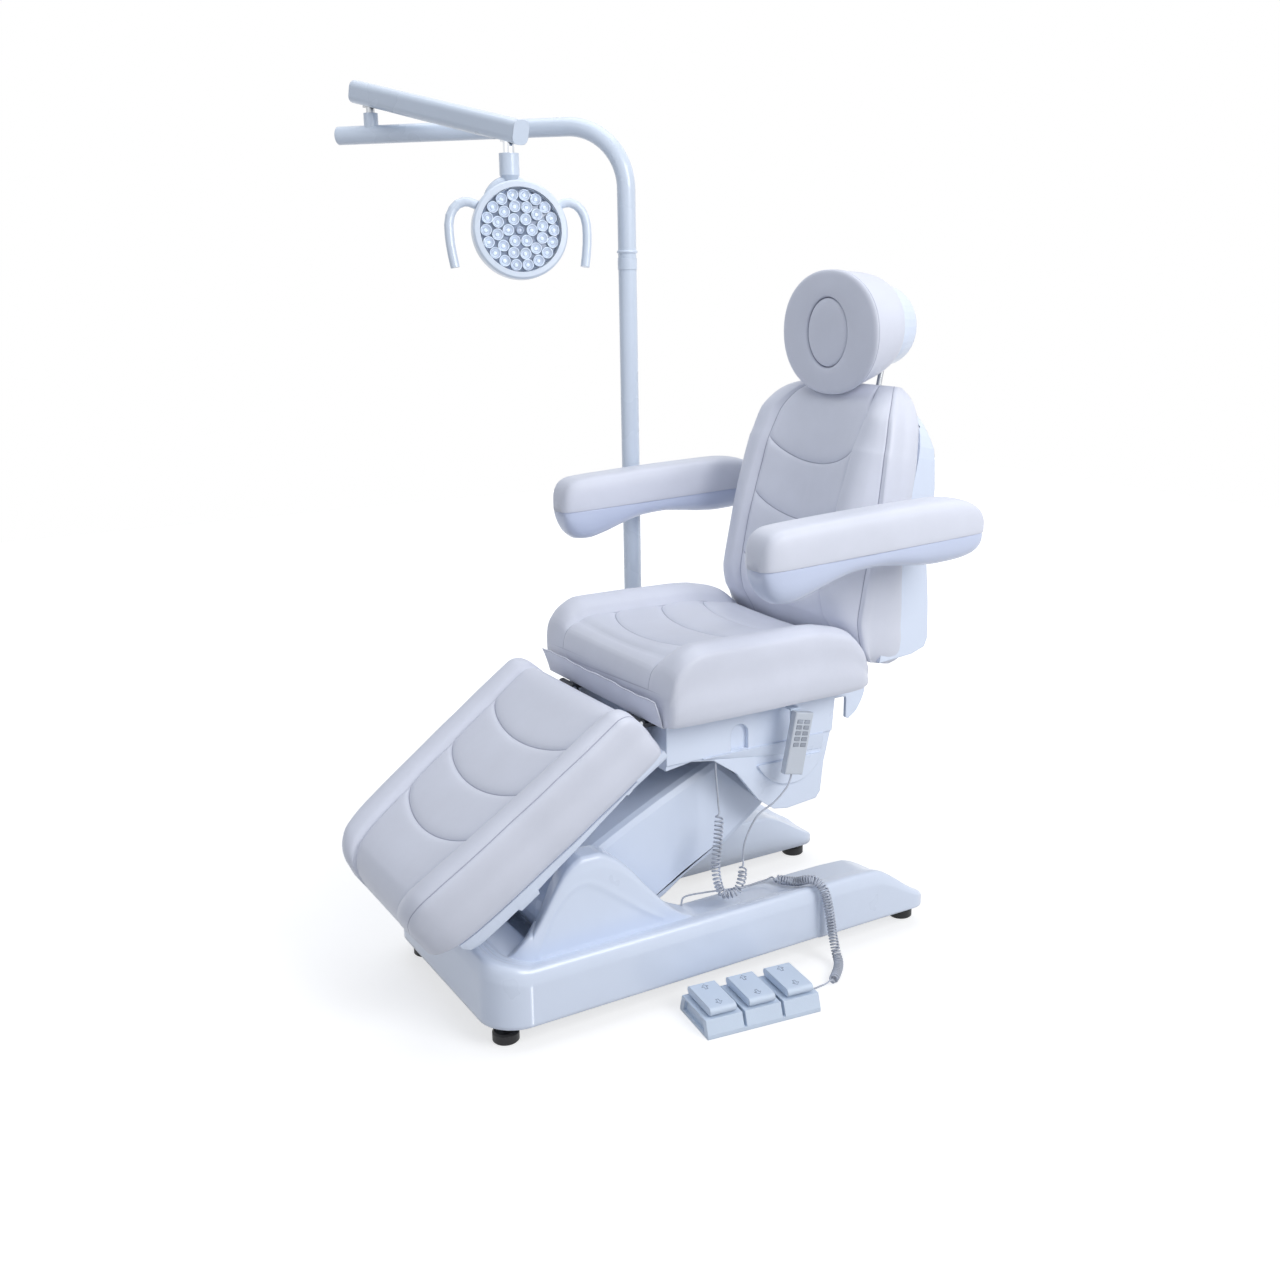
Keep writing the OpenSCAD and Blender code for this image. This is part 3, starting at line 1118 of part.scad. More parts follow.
module upper_tube() {
  color(white) difference() {
    union() {
      tube_path(tube_d);
      translate([post_x, post_y, joint_z - spigot_l]) cylinder(d = spigot_d, h = spigot_l + over);
      translate([elbow_at[0], elbow_at[1], lower_arm_z]) cylinder(d = boss_d,
        h = boss_top - lower_arm_z);
    }
    translate([elbow_at[0], elbow_at[1], lower_arm_z + nib])
      cylinder(r = elbow_pin_d / 2 + run_gap, h = lower_arm_z);
    at_lower_arm() translate([elbow_reach + boss_d, 0, 0]) rotate([0, 90, 0])
      cylinder(d = spigot_d, h = elbow_inset);
  }
}

module upper_tube_cap() {
  color(white) at_lower_arm() translate([lower_arm_l, 0, 0]) rotate([0, 90, 0]) {
    rotate_extrude() polygon([[0, 0], [tube_d / 2, 0], [tube_d / 2, nib], [tube_d / 2 - nib, 2 * nib],
      [0, 2.4 * nib]]);
    translate([0, 0, -elbow_inset + boss_d * 1.5]) cylinder(d = spigot_d - seat_gap,
      h = elbow_inset - boss_d * 1.5);
  }
}

module at_elbow(turn) translate([elbow_at[0], elbow_at[1], arm_axis_z]) rotate([0, 0, turn]) children();

module tongue(below) {
  rotate([90, 0, 0]) translate([0, 0, -tongue_t / 2]) cylinder(r = tongue_r, h = tongue_t);
  translate([-tongue_r, -tongue_t / 2, -below]) cube([2 * tongue_r, tongue_t, below]);
}

module elbow_spindle() {
  color(steel) at_elbow(upper_arm_turn) {
    difference() {
      tongue(upper_arm_h / 2 + nib);
      rotate([90, 0, 0]) cylinder(r = cross_d / 2 + run_gap, h = upper_arm_w, center = true);
    }
    pin_l = arm_axis_z - upper_arm_h / 2 - lower_arm_z - 2 * nib;
    translate([0, 0, -upper_arm_h / 2 - pin_l]) cylinder(d = elbow_pin_d, h = pin_l);
  }
}

// Hollow arm with rounded edges along X, slotted below at both pivots
module box_bar(w, h, l, r) {
  rotate([90, 0, 90]) linear_extrude(l) {
    square([w - 2 * r, h], center = true);
    square([w, h - 2 * r], center = true);
    for (x = [-1, 1], y = [-1, 1]) translate([x * (w / 2 - r), y * (h / 2 - r)]) circle(r = r);
  }
}

bar_r = 16;
swing = 32;
module at_upper_arm() at_elbow(upper_arm_turn) rotate([0, upper_arm_drop, 0]) children();

module upper_arm() {
  full_l = upper_arm_l + upper_arm_tail + upper_arm_nose;
  color(white) at_upper_arm() {
    difference() {
      translate([-upper_arm_tail, 0, 0]) box_bar(upper_arm_w, upper_arm_h, full_l, bar_r);
      translate([-upper_arm_tail - over, 0, 0]) box_bar(upper_arm_w - 2 * upper_arm_wall,
        upper_arm_h - 2 * upper_arm_wall, full_l + 2 * over, bar_r - upper_arm_wall);
      for (end = [[0, tongue_t], [upper_arm_l, lamp_pin_d]])
        translate([end[0] - swing, -end[1] / 2 - nib, -upper_arm_h])
          cube([2 * swing, end[1] + 2 * nib, upper_arm_h]);
    }
    for (x = [0, upper_arm_l]) translate([x, 0, 0]) rotate([90, 0, 0])
      cylinder(d = cross_d, h = upper_arm_w - upper_arm_wall, center = true);
  }
}

module upper_arm_caps() {
  color(white) at_upper_arm() for (x = [-upper_arm_tail - 2 * nib, upper_arm_l + upper_arm_nose]) {
    translate([x, 0, 0]) box_bar(upper_arm_w, upper_arm_h, 2 * nib, bar_r);
    translate([x < 0 ? x + nib : x - nib * 2, 0, 0]) box_bar(upper_arm_w - 2 * upper_arm_wall - seat_gap,
      upper_arm_h - 2 * upper_arm_wall - seat_gap, 3 * nib, bar_r - upper_arm_wall);
  }
}

// Lamp: the pin hangs level from the arm's knuckle, the yoke turns on it
module at_knuckle() translate([knuckle_at[0], knuckle_at[1], knuckle_z]) children();
pin_low = upper_arm_h / 2 + lamp_pin_show;
lamp_z = knuckle_z - pin_low - socket_h - yoke_h;
pin_in = socket_h * 0.7;

module lamp_pin() {
  color(steel) at_knuckle() {
    rotate([0, 0, upper_arm_turn]) difference() {
      tongue(upper_arm_h / 2);
      rotate([90, 0, 0]) cylinder(r = cross_d / 2 + run_gap, h = upper_arm_w, center = true);
    }
    translate([0, 0, -pin_low - pin_in]) cylinder(d = lamp_pin_d, h = lamp_pin_show + pin_in + over);
  }
}

module at_lamp() translate([knuckle_at[0], knuckle_at[1], lamp_z]) rotate([0, 0, lamp_turn]) children();
pivot_pin_d = 10;
prong_end = 15;
hub_w = prong_span - prong_d - 2 * nib;

module lamp_yoke() {
  bend_z = yoke_h - prong_d / 2 - prong_span / 2;
  color(white) at_lamp() difference() {
    union() {
      translate([0, 0, bend_z]) rotate([90, 0, 90]) rotate_extrude(angle = 180)
        translate([prong_span / 2, 0]) circle(d = prong_d);
      for (y = [-1, 1]) translate([0, y * prong_span / 2, 0]) {
        cylinder(d = prong_d, h = bend_z);
        rotate([90, 0, 0]) cylinder(r = prong_end, h = prong_d - nib, center = true);
      }
      translate([0, 0, yoke_h - prong_d]) cylinder(d1 = prong_d * 1.2, d2 = socket_d, h = prong_d);
      translate([0, 0, yoke_h]) cylinder(d = socket_d, h = socket_h);
    }
    translate([0, 0, yoke_h + socket_h - pin_in - nib])
      cylinder(r = lamp_pin_d / 2 + run_gap, h = pin_in + 2 * nib);
    rotate([90, 0, 0]) cylinder(r = pivot_pin_d / 2 + run_gap, h = prong_span * 2, center = true);
  }
}

module at_head_lamp() at_lamp() rotate([0, -lamp_tilt, 0]) children();
module facing(from) translate([from, 0, 0]) rotate([0, 90, 0]) children();

module lamp_housing() {
  rim_back = lamp_front - lamp_rim_t;
  color(white) at_head_lamp() {
    difference() {
      union() {
        facing(rim_back) rotate_extrude($fn = 72) polygon([[0, 0], [lamp_d * 0.36, 0],
          [lamp_d * 0.46, lip],
          [lamp_d * 0.49, lip * 2.5], [lamp_d / 2, lip * 4.5], [lamp_d / 2, lamp_rim_t - lip],
          [lamp_d / 2 - lip, lamp_rim_t], [0, lamp_rim_t]]);
        facing(-hub_w * 0.4) cylinder(d1 = hub_w * 0.8, d2 = hub_w, h = hub_w * 0.4);
        facing(0) cylinder(d = hub_w, h = rim_back * 0.6);
        facing(rim_back * 0.6 - over) cylinder(d1 = hub_w, d2 = hub_w * 1.6,
          h = rim_back * 0.4 + 2 * over);
        rotate([90, 0, 0]) cylinder(d = pivot_pin_d, h = prong_span + prong_d, center = true);
      }
      facing(lamp_front - lens_t * 5) cylinder(d = lens_d, h = lens_t * 5 + over, $fn = 72);
    }
  }
}

module lamp_lens() {
  color("#cfe0f5") at_head_lamp() facing(lamp_front - lens_t - seat_gap)
    cylinder(d = lens_d - seat_gap, h = lens_t, $fn = 72);
}

module led_cups() {
  back = lamp_front - 5 * lens_t;
  color("#dfe6f0") at_head_lamp() {
    facing(back) cylinder(d = lens_d - 2 * lip, h = nib);
    for (ring = [1:3], i = [0:6 * ring - 1]) rotate([360 * i / (6 * ring), 0, 0])
      translate([back + nib - over, 0, ring * lens_d * 0.137]) rotate([0, 90, 0])
        cylinder(d1 = led_d * 0.6, d2 = led_d, h = lens_t * 3, $fn = 14);
  }
}

// Handle's middle line: sideways and upward places in lamp diameters from the rim's side to the free end
handle_share = [[0.38, 0.235], [0.44, 0.262], [0.5, 0.285], [0.56, 0.288], [0.625, 0.262], [0.675,
  0.213], [0.71, 0.145],
  [0.727, 0.06], [0.728, -0.04], [0.722, -0.14], [0.708, -0.25], [0.688, -0.37]];

module handle_tube() {
  line = [for (p = handle_share) lamp_d * p];
  last = len(line) - 1;
  skin([for (i = [0:last]) let (v = unit(line[min(i + 1, last)] - line[max(i - 1, 0)]))
    [for (k = [0:15]) let (b = 22.5 * k, w = handle_d / 2 * sin(b))
      [handle_d / 2 * cos(b), line[i][0] - w * v[1], line[i][1] + w * v[0]]]]);
}

module lamp_handles() {
  color(white) at_head_lamp() difference() {
    translate([lamp_front - lamp_rim_t / 2, 0, 0]) {
      handle_tube();
      mirror([0, 1, 0]) handle_tube();
    }
    facing(lamp_front - lamp_rim_t - handle_d) cylinder(r = lamp_d / 2 + seat_gap,
      h = lamp_rim_t + 2 * handle_d, $fn = 72);
  }
}

// Footswitch: three modules side by side with a rocker pedal on each
module at_switch() translate([switch_x, switch_y, 0]) rotate([0, 0, switch_turn]) children();
axle_d = 8;
axle_z = module_h * 0.55;
web_w = 30;
web_l = 18;
pedal_gap = 4;
sole_h = 8;

module footswitch_housing() {
  step = module_w + module_gap;
  color("#d9dde2") at_switch() {
    block([module_l, 3 * step - module_gap, sole_h], 3 * nib);
    for (i = [-1:1]) translate([0, i * step, 0]) {
      difference() {
        translate([0, module_w / 2, 0]) rotate([90, 0, 0]) linear_extrude(module_w)
          polygon([[-module_l / 2, 0], [module_l / 2, 0], [module_l / 2, sole_h],
            [module_l * 0.42, module_h], [-module_l * 0.42, module_h], [-module_l / 2, sole_h]]);
        translate([-web_l, -web_w / 2 - nib, sole_h]) cube([2 * web_l, web_w + 2 * nib, module_h]);
        for (y = [-1, 1]) translate([0, y * (module_w / 2 + nib), 0]) rotate([90, 0, 0])
          linear_extrude(2 * sole_h, center = true)
            polygon([[-module_l * 0.38, sole_h], [module_l * 0.38, sole_h], [module_l * 0.31,
              module_h - lip],
              [-module_l * 0.31, module_h - lip]]);
      }
      translate([0, 0, axle_z]) rotate([90, 0, 0]) cylinder(d = axle_d, h = web_w + 3 * nib,
        center = true);
    }
  }
}

module pedal(i) {
  step = module_w + module_gap;
  z = module_h + pedal_gap;
  color("#d9dde2") at_switch() translate([0, i * step, 0]) difference() {
    union() {
      translate([0, pedal_w / 2, z]) rotate([90, 0, 0]) linear_extrude(pedal_w)
        polygon(concat([[-pedal_l / 2 + lip, 0], [pedal_l / 2 - lip, 0]],
          arc(pedal_l / 2 - pedal_t / 2, pedal_t / 2, pedal_t / 2, -60, 90, 6),
          arc(-pedal_l / 2 + pedal_t / 2, pedal_t / 2, pedal_t / 2, 90, 240, 6)));
      translate([-web_l / 2, -web_w / 2, axle_z]) cube([web_l, web_w, z - axle_z + over]);
      translate([0, 0, axle_z]) rotate([90, 0, 0]) cylinder(d = web_l, h = web_w, center = true);
    }
    translate([0, 0, axle_z]) rotate([90, 0, 0]) cylinder(r = axle_d / 2 + run_gap,
      h = web_w + 2 * over, center = true);
  }
}

module footswitch_knob() {
  color("#c9cdd2") at_switch() translate([-module_l * 0.5, -module_w * 0.8, sole_h + nib])
    rotate([0, -90, 0]) cylinder(d = 2 * sole_h, h = sole_h);
}

// Curly cords: one tube whose rings ride a coil round a hand-chosen route
function spline(p, t) = let (i = min(floor(t), len(p) - 2), u = t - i, a = p[max(i - 1, 0)], b = p[i],
  c = p[i + 1],
    d = p[min(i + 2, len(p) - 1)])
  b + 0.5 * u * (c - a + u * (2 * a - 5 * b + 4 * c - d + u * (3 * (b - c) + d - a)));
function slope(p, t) = let (e = 0.02, n = len(p) - 1) unit(spline(p, min(t + e, n)) - spline(p,
  max(t - e, 0)));
// Coil share and turns at a place on the route: straight before a and after b, full in between
function swell(t, a, b, ramp) = min(1, max(0, (t - a) / ramp), max(0, (b - t) / ramp));
function coil_at(p, t, a, b, turns, r, ref) = let (
    along = slope(p, t), side = unit(ref - (ref * along) * along), up = cross(along, side),
    w = 360 * turns * min(1, max(0, (t - a) / (b - a))), s = r * swell(t, a, b, 0.25))
  spline(p, t) + s * (cos(w) * side + sin(w) * up);
function cord_times(a, b, n, turns) = concat([for (i = [0:8]) a * i / 9],
  [for (i = [0:turns * 8]) a + (b - a) * i / (turns * 8)], [for (i = [1:8]) b + (n - b) * i / 8]);
function cord_ring(p, t, a, b, turns, r, ref, thick) = let (n = len(p) - 1, e = 0.25 * (b - a) / turns / 8,
    here = coil_at(p, t, a, b, turns, r, ref), mid = spline(p, t), along0 = slope(p, t),
    w = 360 * turns * min(1, max(0, (t - a) / (b - a))), side = unit(ref - (ref * along0) * along0),
    out = cos(w) * side + sin(w) * cross(along0, side),
    along = unit(coil_at(p, min(t + e, n), a, b, turns, r, ref) - coil_at(p, max(t - e, 0), a, b,
      turns, r, ref)),
    x = unit(out - (out * along) * along), y = cross(along, x))
  [for (k = [0:5]) here + thick / 2 * (cos(60 * k) * x + sin(60 * k) * y)];

// Least gap between places of the cord that lie at least half a turn apart
function self_gap(line, skip, thick) = min([for (i = [0:len(line) - 1 - skip], j = [i + skip:len(line) - 1])
  norm(line[i] - line[j])]) - thick;

module cord(p, a, b, turns, ref) {
  r = (curl_d - lead_d) / 2;
  times = cord_times(a, b, len(p) - 1, turns);
  echo(least_gap_to_itself = self_gap([for (t = times) coil_at(p, t, a, b, turns, r, ref)], 4, lead_d));
  skin([for (t = times) cord_ring(p, t, a, b, turns, r, ref, lead_d)]);
}

handset_route = [[259, 138, 425], [259, 135, 413], [258, 124, 394], [252, 98, 368], [240, 67, 342],
  [232, 44, 292], [228, 41, 246], [226, 40, 208], [224, 28, 182], [221, -2, 182], [219, -14, 208], [214, -16, 246],
  [209, -8, 290], [202, 0, 335], [198, 0, 380], [196, -3, 430], [196, -4, 450], [196, -4, 460]];
switch_route = [[152, -60, 142], [152, -60, 150], [151, -50, 160], [150, 0, 156], [154, 90, 147], [158,
  135, 150],
  [170, 160, 155], [195, 176, 156], [220, 186, 161], [244, 194, 173], [264, 202, 175], [283, 210, 158],
  [290, 218, 115], [297, 222, 65], [310, 222, 28], [332, 212, 14], [360, 184, 12], [378, 158, 12],
  [383, 120, 11], [383, 98, 11], [382, 80.4, 11]];

module handset_cord() {
  color("#d8dade") cord(handset_route, 5, 13.5, handset_curls, [1, 0, 0]);
}

module footswitch_cord() {
  color("#d8dade") cord(switch_route, 5.5, 17.5, switch_curls, [0, 0.4, 1]);
}

base_frame();
base_cover();
levelling_feet();
base_shafts();
post_bracket();
lower_post();
footswitch_housing();
footswitch_knob();
footswitch_cord();
pedal(-1);  // pedal_1
pedal(0);  // pedal_2
pedal(1);  // pedal_3
boom_frame();
boom_cover();
parallel_link();
seat_frame();
carrier_shafts();
seat_board();
under_seat_shell();
seat_cushion();
seam_flap();
handset_hook();
handset_case();
handset_cord();
handset_button(0);  // handset_button_01
handset_button(1);  // handset_button_02
handset_button(2);  // handset_button_03
handset_button(3);  // handset_button_04
handset_button(4);  // handset_button_05
handset_button(5);  // handset_button_06
handset_button(6);  // handset_button_07
handset_button(7);  // handset_button_08
handset_button(8);  // handset_button_09
handset_button(9);  // handset_button_10
back_frame();
back_shell();
back_cushion();
headrest_posts();
headrest_shell();
headrest_cushion();
headrest_plug();
armrest_shell_left();
armrest_pad_left();
armrest_shell_right();
armrest_pad_right();
leg_frame();
leg_pan();
leg_cushion();
upper_tube();
upper_tube_cap();
elbow_spindle();
upper_arm();
upper_arm_caps();
lamp_pin();
lamp_yoke();
lamp_housing();
lamp_lens();
led_cups();
lamp_handles();
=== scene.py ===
import math

import bmesh
import bpy
import numpy as np
from mathutils import Matrix, Vector
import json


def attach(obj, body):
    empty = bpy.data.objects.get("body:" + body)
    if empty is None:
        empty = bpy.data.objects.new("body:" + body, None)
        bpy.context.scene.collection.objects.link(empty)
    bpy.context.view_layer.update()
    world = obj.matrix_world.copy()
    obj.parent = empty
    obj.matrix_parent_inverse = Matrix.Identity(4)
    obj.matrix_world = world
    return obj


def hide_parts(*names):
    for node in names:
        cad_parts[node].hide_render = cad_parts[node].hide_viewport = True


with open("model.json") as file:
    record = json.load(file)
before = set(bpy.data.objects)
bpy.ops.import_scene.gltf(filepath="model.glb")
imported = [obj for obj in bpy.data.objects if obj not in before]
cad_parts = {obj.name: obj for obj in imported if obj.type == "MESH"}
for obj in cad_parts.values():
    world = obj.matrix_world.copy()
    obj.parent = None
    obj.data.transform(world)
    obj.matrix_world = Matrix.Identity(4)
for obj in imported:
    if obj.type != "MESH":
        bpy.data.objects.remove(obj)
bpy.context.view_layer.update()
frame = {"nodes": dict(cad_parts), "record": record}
nodes = frame["nodes"]
scene = bpy.context.scene

MM = 0.001
SIDES = (("left", 1), ("right", -1))

# Camera, solved from the photograph: side of the picture, focal length and optical centre in pixels,
# then the sensor's width in millimetres, the camera's place in metres and its turn in degrees
PHOTO = 1280
FOCAL = 1360.8
CENTRE = (677.2, 611.6)
SENSOR = 36.0
CAMERA_AT = (2.36088, -1.4148, 1.40184)
HEADING, TILT, ROLL = 58.56, 76.27, -0.52


def add_camera():
    camera = bpy.data.objects.new("camera", bpy.data.cameras.new("camera"))
    scene.collection.objects.link(camera)
    matrix = Matrix.Translation(CAMERA_AT)
    for angle, axis in ((HEADING, "Z"), (TILT, "X"), (ROLL, "Z")):
        matrix = matrix @ Matrix.Rotation(math.radians(angle), 4, axis)
    camera.matrix_world = matrix
    camera.data.sensor_width = SENSOR
    camera.data.lens = FOCAL / PHOTO * SENSOR
    camera.data.shift_x = (PHOTO / 2 - CENTRE[0]) / PHOTO
    camera.data.shift_y = (CENTRE[1] - PHOTO / 2) / PHOTO
    camera.data.clip_end = 60
    scene.camera = camera


add_camera()

# Measures shared with the solid model, in millimetres; a place in the side plane is (y, z)
BOOM_L = 511
BOOM_TILT = math.radians(25.3)
LOW_PIN = (-290.0, 190.0)
HIGH_PIN = (LOW_PIN[0] + BOOM_L * math.cos(BOOM_TILT), LOW_PIN[1] + BOOM_L * math.sin(BOOM_TILT))
SEAT_Y, SEAT_Z = HIGH_PIN[0] - 322, HIGH_PIN[1] + 163
HINGE_DROP = 11
LEG_PIN = (SEAT_Y - 10, SEAT_Z - HINGE_DROP)
BACK_PIN = (SEAT_Y + 515, SEAT_Z - HINGE_DROP)
LEAN = math.radians(12)
DROP = math.radians(35.4)
# Hinge of the armrests and the headrest: up the backrest, forward of it
ARM_UP, ARM_OUT = 350, -24
HEAD_UP, HEAD_OUT = 734, -10
# Length, half width and height of each cushion
LEG_L, LEG_HALF, LEG_T = 571, 253, 126
LEG_START, LEG_UNDER = 12, 38
SEAT_L, SEAT_HALF, SEAT_T = 490, 278, 147
BACK_L, BACK_HALF, BACK_T = 629, 254, 88
PAD_L, PAD_HALF, PAD_T = 530, 47, 76
HEAD_W, HEAD_H, HEAD_T = 330, 264, 92
ARM_X = 390
CORD_D = 3.8


# Frames of the sloping parts
def plane_frame(origin, along, out):
    """Turns (across, along, out) places of a part into places of the whole."""
    def to_whole(p):
        s, n = p[..., 1], p[..., 2]
        y = origin[0] + s * along[0] + n * out[0]
        z = origin[1] + s * along[1] + n * out[1]
        return np.stack([p[..., 0], y, z], -1)
    return to_whole


leg_frame = plane_frame(LEG_PIN, (-math.cos(DROP), -math.sin(DROP)), (-math.sin(DROP), math.cos(DROP)))
back_frame = plane_frame(BACK_PIN, (math.sin(LEAN), math.cos(LEAN)), (-math.cos(LEAN), math.sin(LEAN)))
seat_frame = plane_frame((SEAT_Y, SEAT_Z), (1, 0), (0, 1))
ARM_PIN = back_frame(np.array([0.0, ARM_UP, ARM_OUT]))
HEAD_PIN = back_frame(np.array([0.0, HEAD_UP, HEAD_OUT]))


# Curves
def smooth_table(xs, ys, x):
    """Monotone cubic through the points."""
    xs, ys, x = np.asarray(xs, float), np.asarray(ys, float), np.asarray(x, float)
    h = np.diff(xs)
    d = np.diff(ys) / h
    m = np.zeros(len(xs))
    m[0], m[-1] = d[0], d[-1]
    for i in range(1, len(xs) - 1):
        if d[i - 1] * d[i] > 0:
            a, b = 2 * h[i] + h[i - 1], h[i] + 2 * h[i - 1]
            m[i] = (a + b) / (a / d[i - 1] + b / d[i])
    i = np.clip(np.searchsorted(xs, x) - 1, 0, len(xs) - 2)
    t = np.clip((x - xs[i]) / h[i], 0, 1)
    return (ys[i] * (2 * t**3 - 3 * t**2 + 1) + m[i] * h[i] * (t**3 - 2 * t**2 + t)
            + ys[i + 1] * (3 * t**2 - 2 * t**3) + m[i + 1] * h[i] * (t**3 - t**2))


def column(table, k, x):
    """Column k of a table at the places x of its first column."""
    return smooth_table(table[:, 0], table[:, k], x)


def catmull(control, t):
    """Smooth curves through rows of control points: (rows, points, axes) to (rows, len(t), axes)."""
    i = np.clip(np.floor(t).astype(int), 0, control.shape[1] - 2)
    u = (t - i)[None, :, None]
    a, b = control[:, np.maximum(i - 1, 0)], control[:, i]
    c, d = control[:, i + 1], control[:, np.minimum(i + 2, control.shape[1] - 1)]
    return b + 0.5 * u * (c - a + u * (2 * a - 5 * b + 4 * c - d + u * (3 * (b - c) + d - a)))


def spline(points, t):
    return catmull(np.asarray(points, float)[None], np.asarray(t, float))[0]


def run_along(points):
    """Length along a line up to each of its points."""
    return np.concatenate([[0], np.cumsum(np.linalg.norm(np.diff(points, axis=0), axis=1))])


def length_of(line):
    return float(np.linalg.norm(np.diff(line, axis=0), axis=1).sum())


def bell(distance, width):
    return np.exp(-(distance / width) ** 2)


def circle(n):
    return np.linspace(0, 2 * math.pi, n, endpoint=False)


def arrays(rows):
    """Control points (rows, points, 2) from a list of pairs with one value per row."""
    return np.stack([np.stack(pair, -1) for pair in rows], 1)


# Meshes
def new_object(name, verts, faces, smooth=True):
    mesh = bpy.data.meshes.new(name)
    mesh.from_pydata([tuple(v) for v in verts], [], faces)
    mesh.validate()
    mesh.update()
    if smooth:
        mesh.polygons.foreach_set("use_smooth", [True] * len(mesh.polygons))
    o = bpy.data.objects.new(name, mesh)
    scene.collection.objects.link(o)
    return o


def facing_out(o):
    bm = bmesh.new()
    bm.from_mesh(o.data)
    bmesh.ops.recalc_face_normals(bm, faces=bm.faces)
    bm.to_mesh(o.data)
    bm.free()
    return o


def ring_faces(m, n, closed=True, first=0):
    """Faces over m rings of n points, with both ends capped where the rings close."""
    faces = []
    for i in range(m - 1):
        for j in range(n if closed else n - 1):
            a, b = first + i * n, first + (i + 1) * n
            k = (j + 1) % n
            faces.append((a + j, a + k, b + k, b + j))
    if closed:
        faces.append(tuple(first + j for j in range(n - 1, -1, -1)))
        faces.append(tuple(first + (m - 1) * n + j for j in range(n)))
    return faces


def set_attribute(o, key, values):
    a = o.data.attributes.new(key, "FLOAT", "POINT")
    a.data.foreach_set("value", np.asarray(values, np.float32).reshape(-1))


def skin(name, rings, closed=True, seam=None):
    """Surface over rings (rows of equally many points, in millimetres)."""
    rings = np.asarray(rings, float)
    o = new_object(name, rings.reshape(-1, 3) * MM, ring_faces(*rings.shape[:2], closed))
    if seam is not None:
        set_attribute(o, "seam", seam)
    return facing_out(o)


def new_curve(name, lines, radius, closed=False):
    """Wire of a radius in millimetres along lines of points in metres."""
    curve = bpy.data.curves.new(name, "CURVE")
    curve.dimensions = "3D"
    curve.bevel_depth = radius * MM
    for points in lines:
        line = curve.splines.new("POLY")
        line.points.add(len(points) - 1)
        line.points.foreach_set("co", np.c_[points, np.ones(len(points))].reshape(-1))
        line.use_cyclic_u = closed
    o = bpy.data.objects.new(name, curve)
    scene.collection.objects.link(o)
    return o


def modifier(o, kind, **settings):
    m = o.modifiers.new(kind.lower(), kind)
    for key, value in settings.items():
        setattr(m, key, value)


# Materials
def base_material(name, color, rough, metallic=0.0, coat=0.0):
    """Returns a new material, its tree, its shader and its coordinates."""
    m = bpy.data.materials.new(name)
    m.use_nodes = True
    tree = m.node_tree
    p = tree.nodes["Principled BSDF"]
    p.inputs["Base Color"].default_value = (*color, 1)
    p.inputs["Roughness"].default_value = rough
    p.inputs["Metallic"].default_value = metallic
    p.inputs["Coat Weight"].default_value = coat
    p.inputs["Coat Roughness"].default_value = 0.12
    return m, tree, p, tree.nodes.new("ShaderNodeTexCoord")


def node(tree, kind, inputs=None, **props):
    n = tree.nodes.new(kind)
    for key, value in props.items():
        setattr(n, key, value)
    for key, value in (inputs or {}).items():
        if isinstance(value, bpy.types.NodeSocket):
            tree.links.new(value, n.inputs[key])
        else:
            n.inputs[key].default_value = value
    return n


def noise(tree, where, scale, detail=3.0, rough=0.55):
    inputs = {"Vector": where.outputs["Object"], "Scale": scale, "Detail": detail, "Roughness": rough}
    return node(tree, "ShaderNodeTexNoise", inputs).outputs["Fac"]


def spread(tree, fac, low, high):
    """A factor mapped from 0.3..0.7 to low..high."""
    inputs = {"Value": fac, "From Min": 0.3, "From Max": 0.7, "To Min": low, "To Max": high}
    return node(tree, "ShaderNodeMapRange", inputs).outputs[0]


def tinted(tree, fac, a, b):
    """Colour from a to b, each a colour or a socket."""
    colors = [v if isinstance(v, bpy.types.NodeSocket) else (*v, 1) for v in (a, b)]
    return node(tree, "ShaderNodeMix", {0: fac, 6: colors[0], 7: colors[1]}, data_type="RGBA").outputs[2]


def mottled(tree, fac, color, low, high):
    """The colour in patches between two shades of itself."""
    shades = [tuple(min(1, c * k) for c in color) for k in (low, high)]
    return tinted(tree, spread(tree, fac, 0, 1), *shades)


def finish_material(tree, p, color=None, rough=None, bumps=(), edge=0.0):
    """Links colour and roughness, and bump layers (height, distance, strength) over edges rounded by edge."""
    if color:
        tree.links.new(color, p.inputs["Base Color"])
    if rough:
        tree.links.new(rough, p.inputs["Roughness"])
    last = node(tree, "ShaderNodeBevel", {"Radius": edge}, samples=6).outputs[0] if edge else None
    for height, distance, strength in bumps:
        b = node(tree, "ShaderNodeBump", {"Height": height, "Distance": distance, "Strength": strength})
        if last:
            tree.links.new(last, b.inputs["Normal"])
        last = b.outputs[0]
    if last:
        tree.links.new(last, p.inputs["Normal"])


def leatherette(name, color, seam_color):
    """Grained cover with soft creases, darker along the sewn lines."""
    m, tree, p, where = base_material(name, color, 0.42)
    p.inputs["Specular IOR Level"].default_value = 0.42
    p.inputs["Sheen Weight"].default_value = 0.08
    p.inputs["Sheen Roughness"].default_value = 0.4
    patch = noise(tree, where, 9, 4)
    fine = noise(tree, where, 1500, 2)
    crease = noise(tree, where, 55, 5, 0.6)
    cells = {"Vector": where.outputs["Object"], "Scale": 820.0, "Randomness": 1.0}
    grain = node(tree, "ShaderNodeTexVoronoi", cells, feature="DISTANCE_TO_EDGE").outputs["Distance"]
    seam = node(tree, "ShaderNodeAttribute", attribute_name="seam").outputs["Fac"]
    tone = tinted(tree, seam, mottled(tree, patch, color, 0.965, 1.02), seam_color)
    layers = ((crease, 0.0007, 0.35), (grain, 0.00012, 0.5), (fine, 0.00004, 0.4))
    finish_material(tree, p, tone, spread(tree, patch, 0.39, 0.48), layers)
    return m


